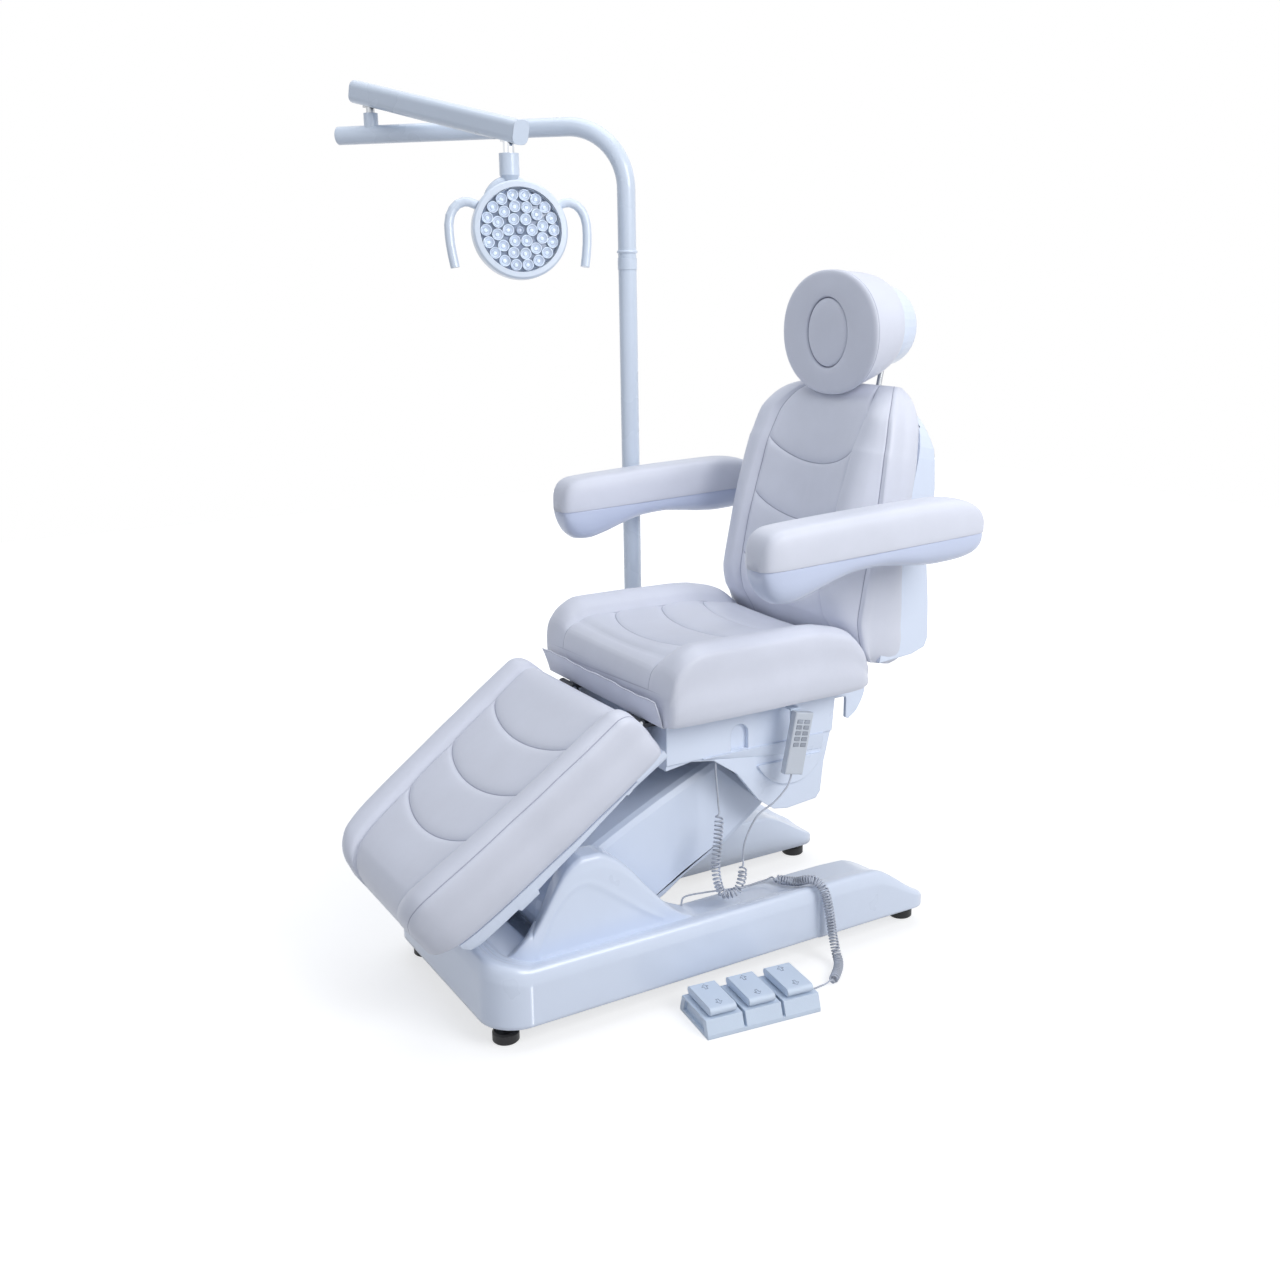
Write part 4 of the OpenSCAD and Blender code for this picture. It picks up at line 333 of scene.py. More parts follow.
def moulded(name, color, rough=0.3, coat=0.25, peel=0.4, edge=0.003):
    """Moulded plastic or paint with a fine orange peel."""
    m, tree, p, where = base_material(name, color, rough, coat=coat)
    patch = noise(tree, where, 6, 3)
    layers = ((noise(tree, where, 240, 2), 0.00018, peel), (noise(tree, where, 1900, 2), 0.00003, 0.4))
    tone = mottled(tree, patch, color, 0.975, 1.015)
    finish_material(tree, p, tone, spread(tree, patch, rough * 0.88, rough * 1.15), layers, edge)
    return m


def metal(name, color, rough):
    """Metal with fine drawn lines."""
    m, tree, p, where = base_material(name, color, rough, metallic=1.0)
    drawn = node(tree, "ShaderNodeMapping", {"Vector": where.outputs["Object"], "Scale": (300, 300, 20)})
    inputs = {"Vector": drawn.outputs[0], "Scale": 3.0, "Detail": 3.0}
    lines = node(tree, "ShaderNodeTexNoise", inputs).outputs["Fac"]
    tone = mottled(tree, noise(tree, where, 30, 3), color, 0.93, 1)
    rough_lines = spread(tree, lines, rough * 0.75, rough * 1.35)
    finish_material(tree, p, tone, rough_lines, ((lines, 0.00003, 0.3),), 0.001)
    return m


def rubber(name, color, rough=0.6):
    m, tree, p, where = base_material(name, color, rough)
    patch = noise(tree, where, 25, 3)
    tone = mottled(tree, patch, color, 0.8, 1.2)
    uneven = spread(tree, patch, rough * 0.85, min(1, rough * 1.15))
    finish_material(tree, p, tone, uneven, ((noise(tree, where, 900, 3), 0.0001, 0.5),), 0.001)
    return m


def lens_glass(name):
    """Clear cover with a faint smear."""
    m, tree, p, where = base_material(name, (0.95, 0.97, 1.0), 0.02)
    p.inputs["Transmission Weight"].default_value = 1.0
    p.inputs["IOR"].default_value = 1.08
    finish_material(tree, p, rough=spread(tree, noise(tree, where, 14, 2), 0.0, 0.035))
    return m


def cup_shade(name):
    """Lens cups, with painted shade that darkens their hollows by the shade of each point."""
    m, tree, p, where = base_material(name, (0.6, 0.68, 0.8), 0.16, coat=0.6)
    shade = node(tree, "ShaderNodeAttribute", attribute_name="shade").outputs["Fac"]
    tone = tinted(tree, shade, (0.30, 0.36, 0.48), (0.80, 0.87, 0.97))
    finish_material(tree, p, tone, spread(tree, noise(tree, where, 120, 2), 0.1, 0.24))
    return m


def mark_ink(name):
    m, tree, p, where = base_material(name, (0.22, 0.26, 0.36), 0.5)
    finish_material(tree, p, rough=spread(tree, noise(tree, where, 300, 2), 0.4, 0.6))
    return m


# What makes each material, its colour, then roughness, coat, peel and edge where they differ from the usual
MAKERS = {
    "shell_plastic": (moulded, (0.76, 0.83, 0.96), 0.3, 0.3),
    # Darker copy of the shell plastic for the armrest mouldings: painted shade of their undersides
    "arm_plastic": (moulded, (0.60, 0.66, 0.83), 0.32, 0.25),
    "post_paint": (moulded, (0.72, 0.80, 0.91), 0.28, 0.35, 0.6, 0.002),
    "frame_paint": (moulded, (0.05, 0.055, 0.065), 0.5, 0.0, 1.0),
    "switch_plastic": (moulded, (0.66, 0.75, 0.87), 0.42, 0.0, 0.8, 0.002),
    "handset_plastic": (moulded, (0.60, 0.64, 0.70), 0.4, 0.0, 0.8, 0.0015),
    "board_wood": (moulded, (0.5, 0.52, 0.6), 0.6, 0.0, 1.0),
    "cup_plastic": (moulded, (0.55, 0.66, 0.84), 0.12, 0.6, 0.2, 0.0008),
    "button_rubber": (rubber, (0.36, 0.39, 0.45)),
    "cord_cover": (rubber, (0.50, 0.53, 0.60), 0.45),
    "foot_rubber": (rubber, (0.012, 0.012, 0.014), 0.5),
    "bright_steel": (metal, (0.55, 0.57, 0.6), 0.3),
    "chrome": (metal, (0.82, 0.84, 0.87), 0.09),
    "leatherette": (leatherette, (0.74, 0.76, 0.845), (0.33, 0.34, 0.43)),
    "lens": (lens_glass,),
    "cup_shade": (cup_shade,),
    "mark_grey": (mark_ink,),
}
MAT = {name: make(name, *values) for name, (make, *values) in MAKERS.items()}


def dress(o, material):
    o.data.materials.clear()
    o.data.materials.append(MAT[material])


def place(o, body, slot, *replaced, material=None):
    """Dresses a piece, sets it on its body and hides the nodes it stands for."""
    dress(o, material or slot)
    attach(o, body)
    if replaced:
        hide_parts(*replaced)


def dress_nodes():
    for part in frame["record"]["subparts"]:
        dress(nodes[part["node"]], part["material_slot"])
    for o in nodes.values():
        o.data.polygons.foreach_set("use_smooth", [True] * len(o.data.polygons))
        modifier(o, "EDGE_SPLIT", split_angle=math.radians(32))
    dress(nodes["handset_hook"], "switch_plastic")
    dress(nodes["base_frame"], "post_paint")


dress_nodes()

# Curly cords on the same routes as the solid model, wound closer than there.
# Length over which the coils open, how fast they quicken there, points in a turn, and the step of the line
CURL_RAMP = 34
CURL_PACE = 2.4
TURN_POINTS = 40
CORD_STEP = 1.7


def curled(route, a, b, turns, ref, over):
    """Line of a curly cord, coiled over's width from place a to b of its route, its turns counted from ref."""
    last = len(route) - 1
    fine = np.linspace(0, last, 6000)
    run = run_along(spline(route, fine))
    s_a, s_b = np.interp(a, fine, run), np.interp(b, fine, run)
    s = np.concatenate([np.linspace(0, s_a, 60)[:-1], np.linspace(s_a, s_b, turns * TURN_POINTS)[:-1],
                        np.linspace(s_b, run[-1], 60)])
    t = np.interp(s, run, fine)
    nudge = 0.02
    along = spline(route, np.minimum(t + nudge, last)) - spline(route, np.maximum(t - nudge, 0))
    along /= np.linalg.norm(along, axis=1)[:, None]
    side = np.asarray(ref, float) - (along @ np.asarray(ref, float))[:, None] * along
    side /= np.linalg.norm(side, axis=1)[:, None]
    up = np.cross(along, side)
    ramp = np.clip(np.minimum((s - s_a) / CURL_RAMP, (s_b - s) / CURL_RAMP), 0, 1)
    ramp = ramp**2 * (3 - 2 * ramp)
    pace = np.concatenate([[0], np.cumsum(np.diff(s) * ((ramp[1:] + ramp[:-1]) / 2) ** CURL_PACE)])
    w = 2 * math.pi * turns * pace / pace[-1]
    r = (over - CORD_D) / 2 * ramp
    line = spline(route, t) + r[:, None] * (np.cos(w)[:, None] * side + np.sin(w)[:, None] * up)
    run = run_along(line)
    even = np.linspace(0, run[-1], int(run[-1] / CORD_STEP))
    return np.stack([np.interp(even, run, line[:, k]) for k in range(3)], 1) * MM


def curly_cord(name, line, body, replaced):
    """Cord along a line in metres; returns it with the line's start and length."""
    o = new_curve(name, [line], CORD_D / 2)
    o.data.bevel_resolution = 2
    o.data.use_fill_caps = True
    place(o, body, "cord_cover", replaced)
    return o, line[0], length_of(line)


HANDSET_ROUTE = [
    [259, 138, 425], [259, 135, 413], [258, 124, 394], [252, 98, 368], [240, 67, 342], [232, 44, 292],
    [228, 41, 246], [226, 40, 208], [224, 28, 182], [221, -2, 182], [219, -14, 208], [214, -16, 246],
    [209, -8, 290], [202, 0, 335], [198, 0, 380], [196, -3, 430], [196, -4, 450], [196, -4, 460]]
SWITCH_ROUTE = [
    [152, -60, 142], [152, -60, 150], [151, -50, 160], [150, 0, 156], [154, 90, 147], [158, 135, 150],
    [170, 160, 155], [195, 176, 156], [220, 186, 161], [244, 194, 173], [264, 202, 175], [283, 210, 158],
    [290, 218, 115], [297, 222, 65], [310, 222, 28], [332, 212, 14], [360, 184, 12], [378, 158, 12],
    [383, 120, 11], [383, 98, 11], [382, 80.4, 11]]
hand_line = curled(HANDSET_ROUTE, a=5.8, b=13.7, turns=30, ref=(1, 0, 0), over=19.5)
hand_cord, hand_exit, hand_length = curly_cord("handset_curly_cord", hand_line, "carrier", "handset_cord")
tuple(hand_exit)
foot_line = curled(SWITCH_ROUTE, a=5.3, b=17.5, turns=56, ref=(0, 0.4, 1), over=20.5)
foot_cord, foot_exit, foot_length = curly_cord("footswitch_curly_cord", foot_line, "base", "footswitch_cord")
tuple(foot_exit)

# Upholstery: rows along the cushion, each a smooth closed section with sewn lines
NEAR = [0, 0.008, 0.018, 0.034, 0.06, 0.1, 0.16, 0.25, 0.36, 0.5, 0.64, 0.78, 0.9]
EVEN = [i / 8 for i in range(8)]
SEAM_ROWS = [0, 0.5, 1.2, 2.2, 3.6, 5.5, 8]
ROW_STEP = 7.0
SEAM_CLEAR = 9.5
# Segments of a cushion's half section, from the middle of its underside to the middle of its panel
SECTION = ["even"] * 7 + ["end", "start", "even", "even", "end", "start", "even", "even"]
EDGE_AT, PANEL_AT = 8, 12
# Depths of the sewn lines, and how far the panel swells between its seams
EDGE_DIP, PANEL_DIP, STITCH_DIP, SEAM_DIP, PILLOW = 1.6, 3.0, 1.4, 3.5, 3.0


def section_places(kinds):
    """Places along the control points: kinds says for each segment which end of it is dense."""
    t = []
    for i, kind in enumerate(kinds):
        if kind == "start":
            t += [i + v for v in NEAR]
        elif kind == "end":
            t += [i + 1 - v for v in NEAR[:0:-1]]
        else:
            t += [i + v for v in EVEN]
    return np.array(t + [len(kinds)])


def row_places(length, seams, extra, start=0.0):
    """Rows along a cushion, dense at its seams, with extra rows at its ends."""
    span = length - start
    base = np.arange(start, length + 0.01, span / round(span / ROW_STEP))
    far = [b for b in base if all(abs(b - s) > SEAM_CLEAR for s in seams)]
    dense = [s + sign * d for s in seams for d in SEAM_ROWS for sign in (-1, 1)]
    kept = np.round(far + [d for d in dense if start < d < length], 4)
    return np.union1d(kept, extra)


def both_sides(half):
    """Rows of a half section, closed by their mirror image."""
    other = half[:, -2:0:-1].copy()
    other[..., 0] *= -1
    return np.concatenate([half, other], 1)


def cushion_section(w, h, pw, ph, crown, dish, under):
    """Underside, side, edge seam, bolster, panel seam and dished panel of a cushion's half section."""
    zero, e = np.zeros_like(w), w * 0.955
    arch = crown - (ph - h) / 2

    def bolster(f):
        return e + (pw - e) * f, h + (ph - h) * f + arch * (4 * f * (1 - f)) ** 0.8

    return arrays([
        (zero, under), (w * 0.5, under), (w * 0.9, under), (w * 0.975, under * 0.97 + h * 0.05),
        (w, under * 0.6 + h * 0.28), (w * 0.992, h * 0.55), (w, h * 0.8), (w * 0.99, h * 0.94), (e, h),
        bolster(0.22), bolster(0.5), bolster(0.8), (pw, ph), (pw * 0.75, ph - dish * 0.44 + 0.5),
        (pw * 0.4, ph - dish * 0.84 + 1), (zero, ph - dish + 1)])


def sewing(arc, t, rows, seams, edge_line, panel_line):
    """How far each point stands proud of the section, and how much it belongs to a sewn line."""
    at_edge = arc[:, [int(np.argmin(abs(t - EDGE_AT)))]]
    at_panel = arc[:, [int(np.argmin(abs(t - PANEL_AT)))]]
    d_edge, d_panel = abs(arc - at_edge), abs(arc - at_panel)
    on_panel = np.clip((arc - at_panel) / 6, 0, 1)
    near = abs(rows[:, None] - np.array(seams)[None]).min(1)[:, None]
    push = -EDGE_DIP * bell(d_edge, 1.5) * edge_line
    push = push - PANEL_DIP * bell(d_panel, 5) - STITCH_DIP * bell(d_panel, 1.4) * panel_line
    channel = SEAM_DIP * np.exp(-(near / 7) ** 1.4) + 1.2 * bell(near, 1.4)
    pillow = PILLOW * (1 - np.exp(-near / 22))
    line = np.maximum(bell(d_edge, 0.9) * edge_line, bell(d_panel, 0.9) * panel_line * 0.8)
    line = np.maximum(line, on_panel * bell(near, 0.9) * 0.85)
    return push + on_panel * (pillow - channel), line


def cushion(name, to_whole, rows, width, height, panel, panel_h, crown, dish, bow, seams,
            edge_line=1.0, panel_line=1.0, low=0.0):
    """Padded piece; rows and what follows have a value per row, apart from seams and the line strengths."""
    w, h, pw = (np.asarray(v, float) for v in (width, height, panel))
    t = section_places(SECTION)
    pts = catmull(cushion_section(w, h, pw, panel_h, crown, dish, np.zeros_like(w) - low), t)
    step = np.linalg.norm(np.diff(pts, axis=1), axis=2)
    arc = np.concatenate([np.zeros((len(w), 1)), np.cumsum(step, 1)], 1)
    tangent = np.gradient(pts, axis=1)
    tangent /= np.maximum(np.linalg.norm(tangent, axis=2), 1e-9)[..., None]
    normal = np.stack([tangent[..., 1], -tangent[..., 0]], -1)
    push, line = sewing(arc, t, rows, seams, edge_line, panel_line)
    size = np.clip(h / h.max(), 0.05, 1)[:, None]
    pts = pts + normal * (push * size)[..., None]
    u = np.clip(abs(pts[..., 0]) / pw[:, None], 0, 1)
    along = rows[:, None] + bow[:, None] * (1 - u**2) ** 0.75 * (t[None, :] > PANEL_AT)
    half = np.stack([pts[..., 0], along, pts[..., 1]], -1)
    line = np.concatenate([line, line[:, -2:0:-1]], 1)
    return skin(name, to_whole(both_sides(half)), seam=line)


# Share along the leg rest, half width, height and bow of its channels
LEG_SHARE = np.array([
    [0, 0.9, 0.5, 0], [0.012, 0.965, 0.78, 0], [0.035, 0.99, 0.94, 0], [0.07, 1, 1, 0.4], [0.2, 1, 1, 1],
    [0.33, 0.985, 1, 1], [0.42, 0.98, 1, 1], [0.54, 0.96, 1, 1], [0.635, 0.95, 1, 1], [0.8, 0.915, 1, 0.5],
    [0.9, 0.87, 0.97, 0.1], [0.95, 0.81, 0.88, 0], [0.985, 0.73, 0.7, 0], [1, 0.64, 0.46, 0]])
# Lip of the leg rest's pan under the cushion's sides: place along it, depth
PAN_LIP = np.array([
    (92, 3), (112, 8), (122, 9), (124, 5), (165, 8.5), (363, 23), (365, 31), (411, 32), (413, 25), (504, 28),
    (524, 25), (534, 12)])
# Section of that lip: distance in from the cushion's side, share of the depth
LIP_SECTION = ((26, 0), (7, 0), (7.5, 0.6), (8.5, 0.9), (11, 1), (26, 1))
# Half width of each cushion's panel, how far its channels bow and how deep it is dished
LEG_PANEL, LEG_BOW, LEG_DISH = 186, 48, 3
SEAT_PANEL, SEAT_BOW, SEAT_DISH = 181, 55, 22
BACK_PANEL, BACK_BOW, BACK_DISH = 150, -44, 26.4


def leg_cushion():
    seams = [share * LEG_L for share in (0.212, 0.432, 0.647)]
    s = row_places(LEG_L, seams, [2, 4, 10, 15, 556, 561, 565, 568])
    q = s / LEG_L
    wide, high, bowed = (column(LEG_SHARE, k, q) for k in (1, 2, 3))
    panel = LEG_PANEL * (1 - 0.2 * q) * np.minimum(1, wide * 1.04)
    start = np.array([0, LEG_START, -LEG_UNDER])
    o = cushion("leg_cushion_cover", lambda p: leg_frame(p + start), s, LEG_HALF * wide, LEG_T * high,
                panel, LEG_T * high - 9, 9, LEG_DISH, LEG_BOW * bowed, seams, panel_line=0.3)
    place(o, "leg", "leatherette", "leg_cushion")


def leg_pan_lips():
    s = np.union1d(PAN_LIP[:, 0], np.linspace(PAN_LIP[0, 0], PAN_LIP[-1, 0], 60))
    w = LEG_HALF * column(LEG_SHARE, 1, (s - LEG_START) / LEG_L)
    d = np.interp(s, PAN_LIP[:, 0], PAN_LIP[:, 1])
    for side, k in SIDES:
        rows = [np.stack([k * (w - inset), s, -LEG_UNDER - 0.4 - d * share], -1)
                for inset, share in LIP_SECTION]
        o = skin(f"leg_pan_lip_{side}", leg_frame(np.stack(rows, 1)))
        modifier(o, "EDGE_SPLIT", split_angle=math.radians(35))
        place(o, "leg", "shell_plastic")


# Share along the seat, half width, height and bow
SEAT_SHARE = np.array([
    [0, 0.93, 0.42, 0], [0.01, 0.965, 0.62, 0], [0.035, 0.985, 0.78, 0], [0.08, 0.995, 0.92, -0.1],
    [0.14, 1, 1, -0.3], [0.26, 1, 1.005, -0.9], [0.4, 1, 1.005, -0.9], [0.5, 0.995, 1, -0.9],
    [0.62, 0.985, 1, -0.8], [0.72, 0.98, 0.98, -0.7], [0.75, 0.98, 0.96, -0.7], [0.88, 0.97, 0.84, -0.2],
    [0.95, 0.95, 0.62, 0], [1, 0.9, 0.34, 0]])


def seat_cushion():
    seams = [share * SEAT_L for share in (0.275, 0.515, 0.735)]
    s = row_places(SEAT_L, seams, [1.5, 3, 9, 13, 476, 480, 486])
    q = s / SEAT_L
    wide, high, bowed = (column(SEAT_SHARE, k, q) for k in (1, 2, 3))
    dished = SEAT_DISH * np.minimum(1, q * 12) * np.minimum(1, (1 - q) * 6)
    o = cushion("seat_cushion_cover", seat_frame, s, SEAT_HALF * wide, SEAT_T * high, SEAT_PANEL + 0 * s,
                SEAT_T * high - dished, 5, 0.35 * dished, SEAT_BOW * bowed, seams, edge_line=0.0)
    place(o, "carrier", "leatherette", "seat_cushion")
    return o


# Share up the backrest, half width, height, height of the panel, crown of the bolsters and bow
BACK_SHARE = np.array([
    [0.087, 0.9, 0.18, 0.2, 0.02, 0], [0.119, 0.95, 0.5, 0.52, 0.05, 0], [0.159, 0.97, 0.7, 0.74, 0.1, 0],
    [0.191, 0.98, 0.82, 0.96, 0.25, 0], [0.223, 0.985, 0.9, 1.15, 0.4, 0.2], [0.3, 1, 0.96, 1.34, 0.52, 0.8],
    [0.367, 1, 0.97, 1.37, 0.52, 1], [0.47, 1, 0.97, 1.37, 0.52, 1], [0.565, 1, 0.97, 1.33, 0.5, 1],
    [0.68, 0.99, 1, 1.25, 0.4, 1], [0.765, 0.975, 1.02, 1.2, 0.3, 1], [0.787, 0.965, 1, 1.16, 0.28, 1],
    [0.87, 0.92, 0.95, 0.98, 0.2, 0.5], [0.93, 0.84, 0.78, 0.78, 0.12, 0], [0.97, 0.74, 0.56, 0.56, 0.06, 0],
    [1, 0.6, 0.22, 0.22, 0, 0]])
# Share up the backrest, how far the cushion wraps back round its shell
BACK_WRAP = np.array([[0.08, 40], [0.11, 58], [0.24, 36], [0.4, 12], [0.53, 0], [1, 0]])


def back_cushion():
    seams = [share * BACK_L for share in (0.356, 0.576, 0.776)]
    s = row_places(BACK_L, seams, [57, 60, 64, 618, 622, 626], start=BACK_SHARE[0, 0] * BACK_L)
    q = s / BACK_L
    wide, high, panel_high, crown, bowed = (column(BACK_SHARE, k, q) for k in range(1, 6))
    dished = BACK_DISH * np.clip((q - 0.16) * 7, 0, 1) * np.clip((0.95 - q) * 5, 0, 1)
    o = cushion("back_cushion_cover", back_frame, s, BACK_HALF * wide, BACK_T * high,
                BACK_PANEL * np.minimum(1, wide * 1.1), BACK_T * panel_high, BACK_T * crown, dished,
                BACK_BOW * bowed, seams, low=column(BACK_WRAP, 1, q))
    place(o, "back", "leatherette", "back_cushion")


# Headrest: squared ovals from the rear to the front, then into the face hole
OVAL_POINTS = 120
HEAD_ORIGIN = HEAD_PIN + np.array([0, -26, 12])
# Share of the depth at which the piping runs
PIPING = 0.903
# Share to the front, width, height and rise of the oval
HEAD_SHARE = np.array([
    [0, 0.83, 0.74, 0.055], [0.03, 0.9, 0.8, 0.052], [0.12, 0.94, 0.84, 0.046], [0.5, 0.965, 0.91, 0.025],
    [0.86, 0.99, 0.98, 0.005], [0.91, 1, 0.995, 0], [0.96, 0.975, 0.975, 0], [0.99, 0.92, 0.92, 0],
    [1, 0.84, 0.84, 0]])
# Width, height, squareness and place of the ovals round the face hole, and how dark their seam is
HOLE = (
    (250, 205, 2.1, -93.4, 0), (200, 178, 2.05, -94.2, 0), (158, 164, 2, -94, 0), (147, 156, 2, -93.2, 0),
    (140, 150, 2, -91.6, 0.3), (137.5, 147.5, 2, -89, 1), (136.3, 146.3, 2, -84, 1), (136, 146, 2, -60, 1))
# Width, height and place of the plug's ovals
PLUG = ((134, 144, -59), (135, 145, -62), (135.4, 145.4, -84), (135, 145, -87.5), (133, 143, -90.2),
        (129, 139, -92), (120, 130, -93.6), (95, 104, -95), (60, 66, -95.8), (20, 22, -96))


def oval(w, h, power, y, z=0.0):
    a = circle(OVAL_POINTS)
    c, s = np.cos(a), np.sin(a)
    across, up = np.sign(c) * abs(c) ** (2 / power), np.sign(s) * abs(s) ** (2 / power)
    return np.stack([w / 2 * across, np.full(len(a), float(y)), z + h / 2 * up], -1)


def headrest():
    rings, lines = [], []
    front = [0.875, 0.885, 0.893, 0.899, 0.903, 0.907, 0.912, 0.92, 0.93, 0.945, 0.96, 0.975, 0.985, 0.993, 1]
    for v in np.r_[np.linspace(0, 0.86, 26), front]:
        from_piping = (v - PIPING) * HEAD_T
        swell = 0.006 * math.sin(math.pi * min(v / 0.9, 1)) * (v < 0.9)
        k = 1 - 0.012 * bell(from_piping, 1.3) + swell
        wide, high, rise = (float(column(HEAD_SHARE, i, v)) for i in (1, 2, 3))
        rings.append(oval(HEAD_W * wide * k, HEAD_H * high * k, 2.12, -HEAD_T * v, HEAD_H * rise))
        lines.append(bell(from_piping, 0.8))
    for w, h, power, y, dark in HOLE:
        rings.append(oval(w, h, power, y))
        lines.append(dark)
    seam = np.repeat(np.array(lines)[:, None], OVAL_POINTS, 1)
    head = skin("headrest_cover", np.array(rings) + HEAD_ORIGIN, seam=seam)
    place(head, "headrest", "leatherette", "headrest_cushion")
    plug = skin("headrest_plug_cover", np.array([oval(w, h, 2, y) for w, h, y in PLUG]) + HEAD_ORIGIN)
    place(plug, "headrest", "leatherette", "headrest_plug")


# Armrests: pads over round-bellied mouldings, both along a seam that falls to the front end
ARM_SEAM, ARM_FALL = 15, 22
PAD_START, MOULD_START, MOULD_L = 20, 19, 528
# Share to the front, half width and height of the pad
PAD_SHARE = np.array([
    [0, 0.55, 0.25], [0.012, 0.8, 0.5], [0.04, 0.93, 0.72], [0.1, 0.99, 0.92], [0.2, 1, 1], [0.5, 1, 1.02],
    [0.8, 1, 1], [0.92, 0.98, 0.97], [0.965, 0.88, 0.86], [0.99, 0.7, 0.62], [1, 0.45, 0.35]])
# Share to the front, half width and depth of the moulding
SHELL_SHARE = np.array([
    [0, 0.5, 14], [0.006, 0.66, 24], [0.02, 0.8, 36], [0.05, 0.88, 45], [0.11, 0.91, 50], [0.2, 0.92, 51],
    [0.3, 0.92, 47], [0.4, 0.9, 39], [0.5, 0.88, 33], [0.6, 0.88, 35], [0.7, 0.9, 47], [0.8, 0.92, 63],
    [0.87, 0.92, 70], [0.925, 0.88, 67], [0.962, 0.8, 54], [0.985, 0.68, 34], [0.994, 0.56, 18]])


def along_arm(control, q, start, length, k):
    """Rows over an armrest's half sections, on side k."""
    t = section_places(["even"] * (control.shape[1] - 1))
    pts = catmull(control, t)
    y = np.repeat((start - length * q)[:, None], len(t), 1)
    half = np.stack([pts[..., 0], y, pts[..., 1] + (ARM_SEAM - ARM_FALL * q)[:, None]], -1)
    return both_sides(half) + np.array([k * ARM_X, ARM_PIN[1], ARM_PIN[2]])


def armrest_pads():
    q = np.r_[0, 0.003, 0.007, 0.012, 0.02, 0.03, 0.045, np.linspace(0.06, 0.94, 60),
              0.955, 0.965, 0.975, 0.983, 0.99, 0.995, 0.998, 1]
    w, h = PAD_HALF * column(PAD_SHARE, 1, q), PAD_T * column(PAD_SHARE, 2, q)
    section = arrays([
        (0 * w, 0 * w), (w * 0.6, 0 * w), (w * 0.88, 0 * w), (w * 0.965, h * 0.05), (w, h * 0.3),
        (w * 0.985, h * 0.62), (w * 0.9, h * 0.84), (w * 0.72, h * 0.955), (w * 0.4, h * 0.995), (0 * w, h)])
    for side, k in SIDES:
        o = skin(f"armrest_pad_cover_{side}", along_arm(section, q, PAD_START, PAD_L, k))
        place(o, f"armrest_{side}", "leatherette", f"armrest_pad_{side}")


def armrest_shells():
    q = np.r_[0, 0.003, 0.006, 0.012, 0.02, 0.03, 0.045, np.linspace(0.06, 0.93, 60),
              0.945, 0.958, 0.968, 0.976, 0.983, 0.989, 0.994]
    w, d = PAD_HALF * column(SHELL_SHARE, 1, q), column(SHELL_SHARE, 2, q)
    section = arrays([
        (0 * w, 2 + 0 * d), (w * 0.7, 2 + 0 * d), (w * 0.94, 1 + 0 * d), (w * 0.99, -d * 0.08),
        (w, -d * 0.25), (w * 0.97, -d * 0.45), (w * 0.88, -d * 0.65), (w * 0.7, -d * 0.83),
        (w * 0.42, -d * 0.955), (0 * w, -d)])
    for side, k in SIDES:
        o = skin(f"armrest_shell_cover_{side}", along_arm(section, q, MOULD_START, MOULD_L, k))
        # The mouldings wear the darker copy of the shell plastic, painted shade of their undersides
        place(o, f"armrest_{side}", "shell_plastic", f"armrest_shell_{side}", material="arm_plastic")


# Fabric strip that stands in the gap over the hinge of the leg rest, two layers sewn at the top edge
STRIP_HALF = 239
# Places of its section from the seat's front edge: forward, up
STRIP_SECTION = ((-14, 0), (1, 0), (3.8, 4.3), (8.5, 21.6), (14.6, 40), (20, 54))
# Where the stitching runs, counted along that section
STITCH_AT = 4.75


def hinge_strip():
    x = np.linspace(-STRIP_HALF, STRIP_HALF, 121)[:, None]
    last = len(STRIP_SECTION) - 1
    u = np.linspace(0, last, 26)
    strip = spline([(SEAT_Y - forward, SEAT_Z - 2 + up) for forward, up in STRIP_SECTION], u)
    rise = ((u / last) ** 1.5)[None, :]
    wave = 0.9 * np.sin(x / 31.0) * rise + 0.5 * np.sin(x / 11.0 + 1) * rise**2
    places = np.repeat(x, len(u), 1)
    grid = np.stack([places, strip[None, :, 0] + wave * 0.6, strip[None, :, 1] + wave], -1)
    seam = np.repeat(bell(u - STITCH_AT, 0.05)[None, :], len(x), 0)
    flap = skin("hinge_strip", grid, closed=False, seam=seam)
    modifier(flap, "SOLIDIFY", thickness=0.0022, offset=0)
    place(flap, "carrier", "leatherette", "seam_flap")


leg_cushion()
leg_pan_lips()
seat = seat_cushion()
back_cushion()
headrest()
armrest_pads()
armrest_shells()
hinge_strip()

# Moulded base cover: rings across one side arm, from its tail round the front corner, then mirrored
COVER_GAP, TRAY, RIM = 45.0, 142.0, 160.0
ARM_IN, ARM_W, HALF_W = 140.0, 130.0, 270.0
FRONT, REAR = -534.0, 540.0
TAIL_L, TAIL_REACH, CORNER_R, INNER_R = 175, 146, 75, 20
HUMP_H, HUMP_L, DRAFT, WALL = 186, 400, 3, 5.5
TAIL_Y = REAR - TAIL_L
# Step in the arm's side, start of the pivot housing, end of the bend behind the corner, from the front
STEP_Y, HUMP_Y, BEND_Y = 208, FRONT + 72, FRONT + 225
# Angle round the corner by which the housing has run out
HUMP_OUT = math.radians(68)
# Share from the front to the rear of the pivot housing, height
HUMP = np.array([
    [0, 0.3], [0.02, 0.34], [0.05, 0.41], [0.09, 0.51], [0.135, 0.63], [0.18, 0.74], [0.24, 0.86],
    [0.31, 0.95], [0.38, 1], [0.46, 1], [0.53, 0.94], [0.6, 0.82], [0.66, 0.68], [0.72, 0.52], [0.78, 0.37],
    [0.84, 0.23], [0.91, 0.1], [1, 0]])
